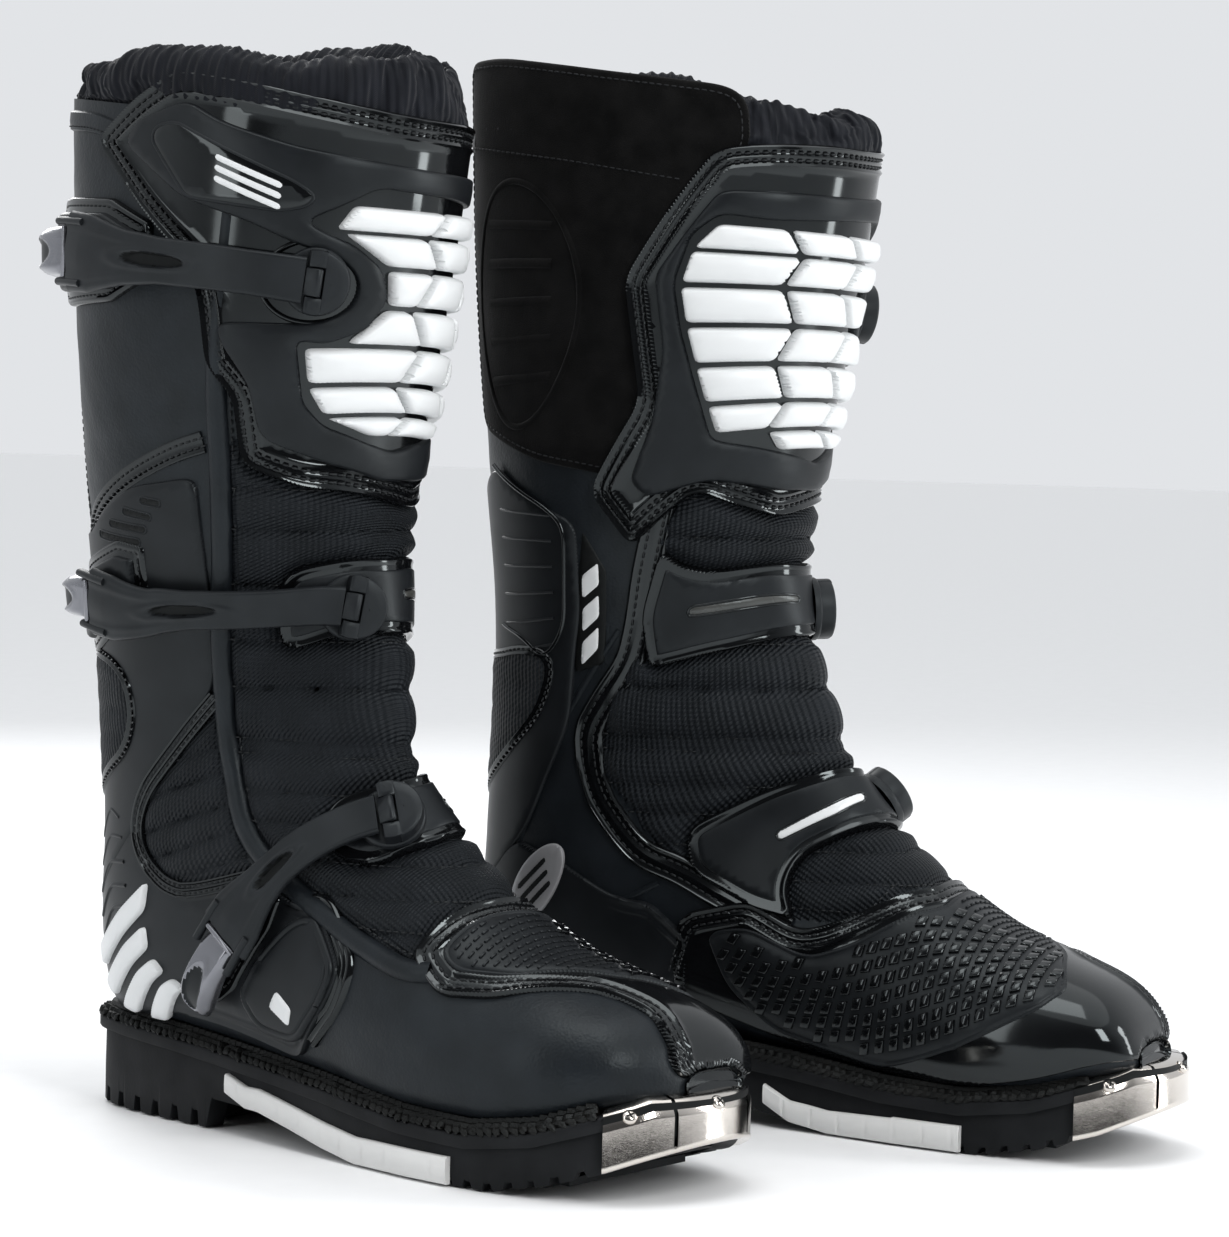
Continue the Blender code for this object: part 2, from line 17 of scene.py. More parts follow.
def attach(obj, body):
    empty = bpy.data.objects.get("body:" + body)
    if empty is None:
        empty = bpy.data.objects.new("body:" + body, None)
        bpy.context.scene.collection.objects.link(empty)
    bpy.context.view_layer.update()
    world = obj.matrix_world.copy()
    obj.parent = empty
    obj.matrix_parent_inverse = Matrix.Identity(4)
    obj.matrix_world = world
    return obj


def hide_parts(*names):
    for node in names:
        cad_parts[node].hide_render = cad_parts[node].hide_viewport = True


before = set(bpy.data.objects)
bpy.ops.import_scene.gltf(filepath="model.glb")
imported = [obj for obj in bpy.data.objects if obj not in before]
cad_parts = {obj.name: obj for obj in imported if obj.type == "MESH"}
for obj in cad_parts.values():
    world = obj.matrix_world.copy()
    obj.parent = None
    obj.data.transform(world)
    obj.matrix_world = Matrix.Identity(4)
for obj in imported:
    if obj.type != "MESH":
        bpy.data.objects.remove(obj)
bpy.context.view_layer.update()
MM = 0.001

# ------------------------------------------------------------------ the loft

SECTIONS = np.array((
    (296, 46, 297, 38, 14, 20, -4.0, 0.60, 2.40, 3.2),
    (291, 57, 293, 36, 27, 31, -3.0, 0.60, 2.40, 3.2),
    (279, 67, 282, 32, 40, 40, -1.0, 0.62, 2.30, 3.4),
    (256, 75, 260, 25, 50, 46, 1.0, 0.64, 2.20, 3.6),
    (228, 84, 230, 21, 54, 46, 2.0, 0.66, 2.05, 3.8),
    (200, 101, 194, 22, 52, 43, 4.0, 0.68, 2.05, 3.8),
    (181, 117, 148, 27, 46, 39, 5.0, 0.66, 2.00, 3.6),
    (165, 134, 101, 31, 40, 37, 6.0, 0.62, 1.85, 3.2),
    (151, 153, 54, 35, 37, 36, 6.5, 0.60, 1.75, 2.8),
    (142, 177, 13, 37, 36, 38, 4.5, 0.58, 1.85, 2.6),
    (136, 201, -5, 63, 37, 40, 0.0, 0.55, 2.00, 2.4),
    (132, 223, -5, 109, 41, 43, -1.0, 0.52, 2.10, 2.3),
    (130, 242, -3, 159, 47, 46, 0.5, 0.50, 2.15, 2.3),
    (131, 261, -4, 210, 53, 50, 2.0, 0.50, 2.25, 2.3),
    (134, 286, -9, 257, 57, 53, 2.3, 0.50, 2.25, 2.3),
    (140, 316, -14, 304, 61, 56, 2.5, 0.50, 2.25, 2.3),
    (146, 346, -17.5, 346, 62.5, 57.5, 2.4, 0.50, 2.20, 2.3),
    (151, 376, -20, 388, 63, 58.5, 2.2, 0.50, 2.20, 2.3),
    (155, 404, -22, 426, 63.5, 59, 2.0, 0.50, 2.20, 2.3),
    (159, 434, -25, 466, 64, 59.5, 2.0, 0.50, 2.20, 2.3),
))
LAST = len(SECTIONS) - 1
PLACES = {"right": (-67.30, 190.72, math.pi - math.radians(5.5)),
          "left": (67.30, 92.52, math.pi + math.radians(5.5))}
TOP = 17.75                       # station at which the leather ends
LANE = 88                         # mm of the leather's girth in a lane, on a middling section
LONGEST_HOP = 2.5                 # mm that a line is moved over the surface at once
STEP = np.array((0.04, 0.012))    # stations and lanes between which a slope is measured


def loft(u, a):
    """Points of the leather's outer face at stations and angles."""
    u, a = np.broadcast_arrays(np.clip(u, 0, LAST), a)
    i = np.minimum(u.astype(int), LAST - 1)
    t = (u - i)[..., None]
    p, q, r, s = (SECTIONS[np.clip(i + k, 0, LAST)] for k in (-1, 0, 1, 2))
    row = (2 * q + (r - p) * t + (2 * p - 5 * q + 4 * r - s) * t ** 2
           + (3 * q - p - 3 * r + s) * t ** 3) / 2
    fy, fz, by, bz, lateral, medial, shift, widest, front, back = np.moveaxis(row, -1, 0)
    sn = np.sin(np.radians(a))
    cs = np.cos(np.radians(a))
    power = 2 / np.where(cs >= 0, front, back)
    x = shift + np.sign(sn) * np.abs(sn) ** power * np.where(sn >= 0, lateral, medial)
    depth = widest - np.sign(cs) * np.abs(cs) ** power * np.where(cs >= 0, widest, 1 - widest)
    return np.stack([x, fy + (by - fy) * depth, fz + (bz - fz) * depth], -1)


def lane_tables():
    """Lane of each (station, angle), angle of each (station, lane), and length up the boot."""
    stations = np.linspace(0, LAST, 20 * LAST + 1)
    angles = np.linspace(-180, 180, 721)
    points = loft(stations[:, None], angles[None, :])
    run = np.linalg.norm(np.diff(points, axis=1), axis=2)
    run = np.concatenate([np.zeros((len(stations), 1)), np.cumsum(run, axis=1)], axis=1)
    lanes = np.empty_like(run)
    for k in range(4):
        part = slice(180 * k, 180 * k + 181)
        start = run[:, 180 * k:180 * k + 1]
        lanes[:, part] = k - 2 + (run[:, part] - start) / (run[:, 180 * k + 180, None] - start)
    steps = np.linspace(-2, 2, 1601)
    back = np.array([np.interp(steps, row, angles) for row in lanes])
    rise = np.linalg.norm(np.diff(points, axis=0), axis=2).mean(axis=1)
    return lanes, back, stations, np.concatenate([[0], np.cumsum(rise)])


LANES, ANGLES, STATIONS, RISE = lane_tables()


def read(grid, u, x, low, high):
    """Value of a table at stations u and at x, its columns running from low to high."""
    i = np.clip(u, 0, LAST) * 20
    j = (x - low) / (high - low) * (grid.shape[1] - 1)
    i0 = np.clip(i.astype(int), 0, grid.shape[0] - 2)
    j0 = np.clip(j.astype(int), 0, grid.shape[1] - 2)
    fi = i - i0
    fj = j - j0
    top = grid[i0, j0] * (1 - fj) + grid[i0, j0 + 1] * fj
    bottom = grid[i0 + 1, j0] * (1 - fj) + grid[i0 + 1, j0 + 1] * fj
    return top * (1 - fi) + bottom * fi


def lane_of(u, a):
    laps = np.floor((np.asarray(a, float) + 180) / 360)
    return read(LANES, np.asarray(u, float), a - 360 * laps, -180, 180) + 4 * laps


def angle_of(u, v):
    laps = np.floor((v + 2) / 4)
    return read(ANGLES, u, v - 4 * laps, -2, 2)


def at(uv):
    return loft(uv[..., 0], angle_of(uv[..., 0], uv[..., 1]))


def basis(uv):
    """Points, outward normals and the two tangents at (station, lane) places."""
    du, dv = np.diag(STEP)
    along = (at(uv + du) - at(uv - du)) / (2 * STEP[0])
    round_ = (at(uv + dv) - at(uv - dv)) / (2 * STEP[1])
    normal = np.cross(along, round_)
    normal /= np.maximum(np.linalg.norm(normal, axis=-1, keepdims=True), 1e-9)
    return at(uv), normal, along, round_


def unit(v):
    return v / np.maximum(np.linalg.norm(v, axis=-1, keepdims=True), 1e-9)


def moved(uv, step):
    """Places after a step in mm along the surface, given as 3-D vectors."""
    _, _, pu, pv = basis(uv)
    e, f, g = (pu * pu).sum(-1), (pu * pv).sum(-1), (pv * pv).sum(-1)
    a, b = (pu * step).sum(-1), (pv * step).sum(-1)
    det = np.maximum(e * g - f * f, 1e-6)
    return uv + np.stack([(a * g - b * f) / det, (b * e - a * f) / det], -1)


def dist(points, line, closed=True):
    """Distance in mm from points to a 3-D polyline."""
    ends = np.roll(line, -1, axis=0) if closed else line[1:]
    starts = line if closed else line[:-1]
    run = ends - starts
    size = np.maximum((run * run).sum(-1), 1e-9)
    out = np.empty(len(points))
    for k in range(0, len(points), 4000):
        gap = points[k:k + 4000, None, :] - starts
        t = np.clip((gap * run).sum(-1) / size, 0, 1)
        out[k:k + 4000] = np.sqrt((((gap - t[..., None] * run) ** 2).sum(-1)).min(axis=1))
    return out


def inside(uv, ring):
    """Whether places are inside a ring, by counting its edges on one side of each."""
    out = np.zeros(len(uv), bool)
    for (u0, v0), (u1, v1) in zip(ring, np.roll(ring, -1, axis=0)):
        level = (v0 > uv[:, 1]) != (v1 > uv[:, 1])
        out ^= level & (uv[:, 0] < u0 + (u1 - u0) * (uv[:, 1] - v0) / (v1 - v0 + 1e-12))
    return out


def turns(count):
    """Angles evenly round a circle, in radians."""
    return np.linspace(0, 2 * math.pi, count, endpoint=False)


def hump(x, middle, width):
    """A smooth rise from 0 to 1 and back."""
    return np.exp(-((x - middle) / width) ** 2)


def chart(uv):
    """Flat map of places in mm: round the boot, and up it."""
    return np.stack([uv[..., 1] * LANE, np.interp(uv[..., 0], STATIONS, RISE)], -1)


def unchart(flat):
    """Places of points on the flat map."""
    return np.column_stack([np.interp(flat[:, 1], RISE, STATIONS), flat[:, 0] / LANE])


class Line:
    """A line on the loft through (station, angle) spots, with its corners cut round."""

    def __init__(self, spots, closed=True, step=1.6, radius=7.0, lanes=None):
        self.closed = closed
        if lanes is None:
            lanes = self.rounded(np.array(spots, float), radius)
        loop = np.vstack([lanes, lanes[:1]]) if closed else lanes
        t = np.linspace(0, len(loop) - 1, (len(loop) - 1) * 6 + 1)
        fine = np.column_stack([np.interp(t, np.arange(len(loop)), loop[:, k]) for k in (0, 1)])
        run = np.linalg.norm(np.diff(at(fine), axis=0), axis=1)
        run = np.concatenate([[0], np.cumsum(run)])
        q = np.linspace(0, run[-1], max(int(round(run[-1] / step)), 4) + 1)
        q = q[:-1] if closed else q
        self.uv = np.column_stack([np.interp(q, run, fine[:, k]) for k in (0, 1)])
        self.points = at(self.uv)
        self.length = run[-1]

    def rounded(self, spots, radius):
        corners = chart(np.column_stack([spots[:, 0], lane_of(spots[:, 0], spots[:, 1])]))
        rows = []
        for k, p in enumerate(corners):
            if not self.closed and k in (0, len(corners) - 1):
                rows.append(p)
                continue
            q, r = corners[k - 1] - p, corners[(k + 1) % len(corners)] - p
            q *= min(radius / max(np.linalg.norm(q), 1e-6), 0.48)
            r *= min(radius / max(np.linalg.norm(r), 1e-6), 0.48)
            rows += [p + q * (1 - t) ** 2 + r * t ** 2 for t in np.linspace(0, 1, 6)]
        return unchart(np.array(rows))

    def tangents(self):
        if self.closed:
            return unit(np.roll(self.points, -1, axis=0) - np.roll(self.points, 1, axis=0))
        return unit(np.gradient(self.points, axis=0))

    def sides(self):
        """Directions in the surface, to the inside of a closed line."""
        side = unit(np.cross(basis(self.uv)[1], self.tangents()))
        if self.closed:
            u, v = self.uv.T
            side = side * np.sign((u * np.roll(v, -1) - v * np.roll(u, -1)).sum())
        return side

    def offset(self, d):
        """The line d mm further in, without the points that fold over at a corner."""
        uv = self.uv
        side = self.sides()
        hops = max(1, math.ceil(abs(d) / LONGEST_HOP))
        for _ in range(hops):
            uv = moved(uv, side * (d / hops))
        keep = dist(at(uv), self.points, self.closed) > abs(d) * 0.93
        return Line(None, self.closed, lanes=uv[keep]) if keep.sum() > 3 else None


def oval_line(u, a, tall, wide, count):
    """Closed line round a spot, with half sizes in stations and degrees."""
    return Line([(u + tall * math.cos(f), a + wide * math.sin(f)) for f in turns(count)], radius=3)


# ------------------------------------------------------------------ collecting meshes

class Shape:
    """Points and faces of one piece in mm, in the right boot's frame."""

    def __init__(self):
        self.points, self.faces, self.looks, self.maps = [], [], [], []
        self.count = 0

    def add(self, points, faces, look, where=None):
        points = np.asarray(points, float).reshape(-1, 3)
        faces = [tuple(int(i) + self.count for i in f) for f in faces]
        self.points.append(points)
        self.faces += faces
        self.looks += [look] * len(faces) if isinstance(look, str) else list(look)
        self.maps.append(points[:, 1:] if where is None else np.asarray(where).reshape(-1, 2))
        self.count += len(points)


def grid_faces(rows, cols, closed=False, flip=False):
    out = []
    for i in range(rows - 1):
        for j in range(cols if closed else cols - 1):
            k = (j + 1) % cols
            face = (i * cols + j, i * cols + k, (i + 1) * cols + k, (i + 1) * cols + j)
            out.append(face[::-1] if flip else face)
    return out


def within(uv, lines):
    """Whether places are inside the first line and outside the others."""
    out = np.zeros(len(uv), bool)
    for line in lines:
        out ^= inside(uv, line.uv)
    return out


def to_edge(points, lines):
    """Distance in mm from points to the nearest of some lines."""
    return np.min([dist(points, line.points) for line in lines], axis=0)


def staggered(uv, across, up):
    """Places in rows, every other row moved by half a step, over the extent of other places."""
    flat = chart(uv)
    (left, low), (right, high) = flat.min(0), flat.max(0)
    return unchart(np.array([(x + (across / 2 if k % 2 else 0), y)
                             for k, y in enumerate(np.arange(low, high, up))
                             for x in np.arange(left, right, across)]))


ROW = 0.87      # distance between the rows of even triangles whose sides are 1


def patch(shape, outlines, low, high, look, edge=1.0, pitch=2.6, rings=(), relief=None):
    """A sheet on the loft inside the first outline and outside the others.

    It rises from low to high over its edge, and relief adds to that from the points, the places
    and their distances to the outlines. Rings are the distances at which it has extra points.
    """
    lines = [o if isinstance(o, Line) else Line(o) for o in outlines]
    spots = [line.uv for line in lines]
    borders = []
    for line in lines:
        start, n = len(borders), len(line.uv)
        borders += [(start + k, start + (k + 1) % n) for k in range(n)]
    depths = [edge * k for k in (0.15, 0.45, 1.0)] + [r for r in rings if r > edge * 1.2]
    for k, line in enumerate(lines):
        inset = [line.offset(d if k == 0 else -d) for d in depths]
        spots += [ring.uv for ring in inset if ring is not None]
    uv = staggered(np.vstack([line.uv for line in lines]), pitch, pitch * ROW)
    uv = uv[within(uv, lines)]
    spots.append(uv[to_edge(at(uv), lines) > depths[-1] + pitch * 0.5])
    verts, _, faces, _, _, _ = delaunay_2d_cdt(
        [Vector(p) for p in chart(np.vstack(spots))], borders, [], 0, 1e-5)
    uv = unchart(np.array([tuple(v) for v in verts]))
    tri = np.array([tuple(f) for f in faces if len(f) == 3])
    tri = tri[within(uv[tri].mean(axis=1), lines)]
    used, index = np.unique(tri, return_inverse=True)
    tri = index.reshape(-1, 3)
    uv = uv[used]
    points, normal, _, _ = basis(uv)
    gap = to_edge(points, lines)
    share = np.clip(gap / edge, 0, 1)
    height = low + (high - low) * np.sqrt(np.maximum(1 - (1 - share) ** 2, 0))
    if relief:
        height = height + relief(points, uv, gap)
    a, b, c = (uv[tri[:, k]] for k in range(3))
    area = (b[:, 0] - a[:, 0]) * (c[:, 1] - a[:, 1]) - (b[:, 1] - a[:, 1]) * (c[:, 0] - a[:, 0])
    tri[area < 0] = tri[area < 0][:, ::-1]
    shape.add(points + normal * height[:, None], tri, look, chart(uv))


def chip(shape, outline, low, high, look="white", edge=0.4, radius=1.5):
    """A small raised mark."""
    line = Line(outline, radius=radius, step=1.0)
    patch(shape, [line], low, high, look, edge=edge, pitch=2.0)
    return line


def band(shape, line, profile, look):
    """A strip along a line: profile is (offset in mm, height in mm) from one edge over."""
    side = line.sides()
    rows, maps = [], []
    for across, height in profile:
        uv = moved(line.uv, side * across)
        points, normal, _, _ = basis(uv)
        rows.append(points + normal * height)
        maps.append(chart(uv))
    shape.add(np.vstack(rows), grid_faces(len(profile), len(line.uv), line.closed), look,
              np.vstack(maps))


def bead(width, rise, base, middle=0.0):
    """Profile of a half-round bead."""
    return [(middle - width / 2 * math.cos(f), base - 0.4 + (rise + 0.4) * math.sin(f))
            for f in np.linspace(0, math.pi, 8)]


def stamps(shape, centres, x, z, verts, faces, look):
    """Copies of a small shape at centres, each with its own length and height directions."""
    verts = np.asarray(verts, float)
    y = unit(np.cross(z, x))
    points = (centres[:, None, :] + verts[None, :, 0:1] * x[:, None, :]
              + verts[None, :, 1:2] * y[:, None, :] + verts[None, :, 2:3] * z[:, None, :])
    n = len(verts)
    shape.add(points, [tuple(i + k * n for i in f) for k in range(len(centres)) for f in faces], look)


def capsule(length, radius, sides=6):
    """A round stitch whose ends dip into the surface."""
    verts = []
    for x, r, sink in ((-0.5, 0.25, 0.5), (-0.32, 0.95, 0), (0.32, 0.95, 0), (0.5, 0.25, 0.5)):
        verts += [(x * length, math.cos(f) * r * radius, (math.sin(f) * r - sink) * radius)
                  for f in turns(sides)]
    return verts, grid_faces(4, sides, True)


def stitches(shape, line, height, look="thread", pitch=3.3, length=2.5, radius=0.42):
    """A row of separate stitches along a line, or nothing where there is no room for two."""
    if line is None or line.length < pitch * 2:
        return
    fine = Line(None, line.closed, pitch, lanes=line.uv)
    points, normal, _, _ = basis(fine.uv)
    along = fine.tangents()
    along = unit(along - normal * (along * normal).sum(-1, keepdims=True))
    stamps(shape, points + normal * height, along, normal, *capsule(length, radius), look)


def place(shape, name, nodes=(), body="root"):
    """Makes the piece for both boots; nodes are the CAD nodes that it stands for."""
    points = np.vstack(shape.points) * MM
    maps = np.vstack(shape.maps) * MM
    looks = sorted(set(shape.looks))
    order = {look: k for k, look in enumerate(looks)}
    made = []
    for side, (x, y, turn) in PLACES.items():
        right = side == "right"
        mesh = bpy.data.meshes.new(side + "_" + name)
        mesh.from_pydata((points * (1 if right else -1, 1, 1)).tolist(), [],
                         shape.faces if right else [f[::-1] for f in shape.faces])
        for look in looks:
            mesh.materials.append(LOOKS[look])
        mesh.polygons.foreach_set("material_index", [order[k] for k in shape.looks])
        index = np.empty(len(mesh.loops), np.int32)
        mesh.loops.foreach_get("vertex_index", index)
        mesh.uv_layers.new(name="map").data.foreach_set("uv", maps[index].reshape(-1))
        mesh.shade_smooth()
        mesh.set_sharp_from_angle(angle=math.radians(50))
        mesh.transform(Matrix.Translation((x * MM, y * MM, 0)) @ Matrix.Rotation(turn, 4, "Z"))
        obj = bpy.data.objects.new(side + "_" + name, mesh)
        bpy.context.scene.collection.objects.link(obj)
        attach(obj, body if body == "root" else side + "_" + body)
        if nodes:
            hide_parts(*[side + "_" + n for n in nodes])
        made.append(obj)
    return made


# ------------------------------------------------------------------ materials

def feed(tree, to, inputs):
    """Sets a node's inputs to numbers, colours or the outputs of other nodes."""
    for name, value in inputs.items():
        if isinstance(value, bpy.types.NodeSocket):
            tree.links.new(value, to.inputs[name])
        else:
            to.inputs[name].default_value = value


def node(tree, kind, inputs, output=0, **settings):
    """One output of a new node, made with these settings and inputs."""
    made = tree.nodes.new("ShaderNode" + kind)
    for name, value in settings.items():
        setattr(made, name, value)
    feed(tree, made, inputs)
    return made.outputs[output]


def woven(tree, kind, where, size):
    """Height of a pattern of parallel ribs, straight or slanted, or of two crossing sets."""
    def calc(operation, a, b=0):
        return node(tree, "Math", {0: a, 1: b}, operation=operation)

    split = node(tree, "SeparateXYZ", {"Vector": where}).node
    across, up = (calc("MULTIPLY", split.outputs[k], size) for k in ("X", "Y"))
    if kind == "ribs":
        return calc("SINE", across)
    slanted = calc("SINE", calc("ADD", across, up))
    return slanted if kind == "twill" else calc(
        "MULTIPLY", slanted, calc("SINE", calc("SUBTRACT", across, up)))


def look(name, colour, rough, metal=0.0, sheen=0.0, bumps=(), tint=0.25, spread=0.12, scale=60.0,
         shine=0.5):
    """A Principled material whose colour and roughness wander, with layers of bump.

    A bump is (kind, scale, strength, distance in mm): noise, cells, weave, ribs, twill or brushed.
    """
    made = bpy.data.materials.new(name)
    made.use_nodes = True
    tree = made.node_tree
    coords = tree.nodes.new("ShaderNodeTexCoord").outputs

    def noise(size, detail):
        return node(tree, "TexNoise", {"Scale": size, "Detail": detail, "Vector": coords["Object"]},
                    "Fac")

    def ramp(value, low, high):
        return node(tree, "MapRange", {"From Min": 0.3, "From Max": 0.7, "To Min": low,
                                       "To Max": high, "Value": value}, "Result")

    wide = noise(scale * 0.35, 6.0)
    values = {
        "Base Color": node(tree, "Mix", {
            "A": (*[c * (1 - tint) for c in colour], 1),
            "B": (*[min(1.0, c * (1 + tint)) for c in colour], 1),
            "Factor": ramp(noise(scale, 4.0), 0.0, 1.0)}, "Result", data_type="RGBA"),
        "Roughness": ramp(wide, max(0.02, rough - spread), min(1.0, rough + spread)),
        "Metallic": metal, "Specular IOR Level": shine,
        "Specular Tint": (1, 1, 1, 1) if metal > 0.5 else (0.89, 0.98, 1.0, 1),
        "Sheen Weight": sheen, "Sheen Roughness": 0.4}
    for kind, size, strength, depth in bumps:
        if kind == "noise":
            value = noise(size, 8.0)
        elif kind == "cells":
            value = node(tree, "TexVoronoi", {"Scale": size, "Vector": coords["Object"]},
                         "Distance", feature="SMOOTH_F1")
        elif kind == "brushed":
            stretched = node(tree, "Mapping", {"Scale": (1, 1, 30), "Vector": coords["Object"]})
            value = node(tree, "TexNoise", {"Scale": size, "Vector": stretched}, "Fac")
        else:
            value = woven(tree, kind, coords["UV"], size)
        bump = {"Strength": strength, "Distance": depth * MM, "Height": value}
        if "Normal" in values:
            bump["Normal"] = values["Normal"]
        values["Normal"] = node(tree, "Bump", bump, "Normal")
    feed(tree, tree.nodes["Principled BSDF"], values)
    return made


BLACK = (0.0075, 0.0085, 0.0100)
LOOKS = {
    "leather": look("leather", (0.0085, 0.0105, 0.0130), 0.43, bumps=(
        ("cells", 900, 0.4, 0.25), ("noise", 260, 0.3, 0.5)), spread=0.07, shine=0.22),
    "textile": look("textile", (0.0095, 0.0110, 0.0135), 0.55, bumps=(
        ("weave", 1500, 1.0, 0.6), ("noise", 300, 0.2, 0.4)), spread=0.08, shine=0.16),
    "collar": look("collar", (0.0075, 0.0080, 0.0112), 0.62, bumps=(
        ("ribs", 2600, 0.8, 0.4), ("twill", 9000, 0.5, 0.12)), spread=0.1, sheen=0.05,
        shine=0.12),
    "lining": look("lining", (0.008, 0.008, 0.010), 0.9, bumps=(
        ("weave", 3000, 0.8, 0.3),), shine=0.15),
    "suede": look("suede", (0.0045, 0.0043, 0.0043), 0.95, bumps=(
        ("noise", 1800, 0.8, 0.35), ("noise", 90, 0.3, 0.6)), tint=0.45, sheen=0.10, scale=90,
        shine=0.05),
    "matte": look("matte", BLACK, 0.40, bumps=(
        ("noise", 1500, 0.12, 0.12), ("noise", 40, 0.15, 0.5)), spread=0.06, shine=0.22),
    "gloss": look("gloss", (0.0030, 0.0032, 0.0037), 0.10, bumps=(
        ("noise", 45, 0.10, 0.5),), spread=0.04, shine=0.42),
    "strap": look("strap", (0.0100, 0.0112, 0.0130), 0.42, bumps=(
        ("noise", 1400, 0.14, 0.15), ("noise", 60, 0.15, 0.4)), spread=0.07, shine=0.24),
    "thread": look("thread", (0.006, 0.006, 0.007), 0.42, shine=0.3,
                   bumps=(("noise", 2500, 0.6, 0.2),)),
    "thread_grey": look("thread_grey", (0.012, 0.012, 0.013), 0.6, shine=0.2,
                        bumps=(("noise", 2500, 0.6, 0.2),)),
    "cord": look("cord", (0.0050, 0.0046, 0.0042), 0.55, shine=0.2, bumps=(
        ("noise", 900, 0.8, 0.5),), tint=0.5, spread=0.2),
    "rubber": look("rubber", (0.0075, 0.0075, 0.0085), 0.6, bumps=(
        ("noise", 700, 0.25, 0.25), ("noise", 120, 0.3, 0.4)), tint=0.35, spread=0.14,
        shine=0.16),
    "white": look("white", (0.70, 0.715, 0.72), 0.36, bumps=(
        ("noise", 900, 0.06, 0.15),), tint=0.02, spread=0.06),
    "white_rubber": look("white_rubber", (0.70, 0.70, 0.69), 0.5, bumps=(
        ("noise", 500, 0.12, 0.3),), tint=0.03, spread=0.1),
    "steel": look("steel", (0.64, 0.60, 0.555), 0.15, metal=1.0, bumps=(
        ("noise", 55, 0.25, 0.5), ("brushed", 700, 0.12, 0.1)), tint=0.06, spread=0.06),
    "silver": look("silver", (0.21, 0.215, 0.235), 0.24, metal=0.85, bumps=(
        ("noise", 900, 0.08, 0.15),), tint=0.06, spread=0.06),
    # Near black: painted shade in the strap holes, the rear guard's vent slots, the screw crosses and
    # the sheet behind the toe guard's slits; also the medial tag and the badge's bars
    "dark": look("dark", (0.003, 0.003, 0.003), 0.6, bumps=(("noise", 400, 0.3, 0.3),),
                 shine=0.2),
    "slate": look("slate", (0.045, 0.045, 0.042), 0.35, bumps=(("noise", 700, 0.1, 0.2),)),
    "grey": look("grey", (0.30, 0.30, 0.31), 0.35, metal=0.3, bumps=(
        ("noise", 700, 0.08, 0.2),), tint=0.05, spread=0.06),
}

# ------------------------------------------------------------------ leather and textile

# Outlines of the covers and of the quilted parts, as (station, angle) spots
SHIN = [(18.22, 84), (17.85, 95), (17.3, 110), (16.5, 91), (16.0, 78), (15.55, 74), (14.8, 71),
        (14.45, 62), (13.6, 59), (13.1, 37), (12.66, 0), (12.55, -18), (13.1, -45), (13.38, -57),
        (12.87, -80), (13.7, -92), (14.6, -78), (16.05, -84), (17.75, -61), (17.9, -45),
        (18.0, -20), (18.03, 15), (18.1, 35), (18.2, 64)]
PLATES = {
    "mid": [(11.82, 43), (11.66, 50), (10.85, 52), (10.58, 46), (10.25, 22), (9.92, 0),
            (10.3, -30), (10.72, -52), (11.1, -72), (11.9, -76), (12.72, -70), (12.3, -60),
            (11.98, -48), (11.65, -24), (11.38, 0), (11.6, 22)],
    "low": [(8.02, 36), (7.97, 44), (7.5, 50), (7.02, 47), (6.64, 40), (6.3, 12), (6.4, -10),
            (6.70, -29), (7.08, -50), (6.98, -62), (6.58, -70), (7.2, -74), (8.2, -74),
            (8.78, -67), (8.32, -44), (7.75, -12), (7.6, 2), (7.65, 16)],
}
TOE = [(5.2, 54), (5.2, 44), (5.0, 7), (5.0, -16), (5.6, -45), (6.2, -66), (6.5, -72),
       (7.31, -72), (7.95, -86), (7.4, -118), (5.8, -126), (4.3, -120), (2.6, -108),
       (1.0, -100), (0.3, -96), (0.03, -80), (0.02, -40), (0.02, 0), (0.02, 62), (0.4, 66),
       (0.8, 48), (1.1, 30), (1.9, 15), (2.7, 15), (3.9, 48), (4.6, 61)]
PIPING = [(17.2, 66), (14.65, 68.5), (13.46, 67), (12.43, 69), (11.47, 74), (10.48, 73), (9.26, 67),
          (8.18, 66), (7.0, 66), (5.61, 63), (5.1, 59), (4.85, 54)]
BELLOWS = [(13.9, 67), (13.46, 66), (12.43, 68), (11.47, 73), (10.48, 72), (9.26, 66), (8.18, 65),
           (7.0, 65), (5.61, 62), (4.9, 52), (4.9, 0), (5.3, -30), (5.9, -62), (6.8, -72),
           (8.17, -72), (9.6, -79), (10.5, -88), (11.1, -86), (11.5, -76), (12.9, -72),
           (13.9, -70), (13.9, 0)]
WINDOW = [(10.72, 76), (10.64, 90), (10.57, 102), (10.34, 106), (9.9, 101), (9.35, 93),
          (8.67, 80), (8.15, 68.3), (9.26, 68.2), (10.48, 74.3)]
# Heights of the quilting's seams, and those of the ankle window's, which slope up to the front
SEAMS = (300, 276, 258, 242, 220, 198, 179, 158.5, 152.5, 138, 126, 113, 101, 90)
WINDOW_SEAMS = (140, 128, 117, 103, 91, 79, 66)
WINDOW_SLOPE = 0.33


def puffed(value, seams, amount):
    """Height of quilting that is sewn down wherever the value is that of a seam."""
    seams = np.sort(np.array(seams, float))
    k = np.clip(np.searchsorted(seams, value) - 1, 0, len(seams) - 2)
    gap = seams[k + 1] - seams[k]
    t = np.clip((value - seams[k]) / gap, 0, 1)
    full = np.minimum(gap / 20, 1.0)
    return amount * full * np.sqrt(np.maximum(1 - (2 * t - 1) ** 2, 0)) ** 0.8


def ripple(points, size, seed):
    """Smooth wandering value between about -1 and 1."""
    rnd = np.random.default_rng(seed)
    out = np.zeros(len(points))
    for _ in range(5):
        way = rnd.normal(size=3)
        way /= np.linalg.norm(way)
        out += np.sin(points @ way * (2 * math.pi / size) * rnd.uniform(0.7, 1.5)
                      + rnd.uniform(0, 6.28))
    return out / 2.6


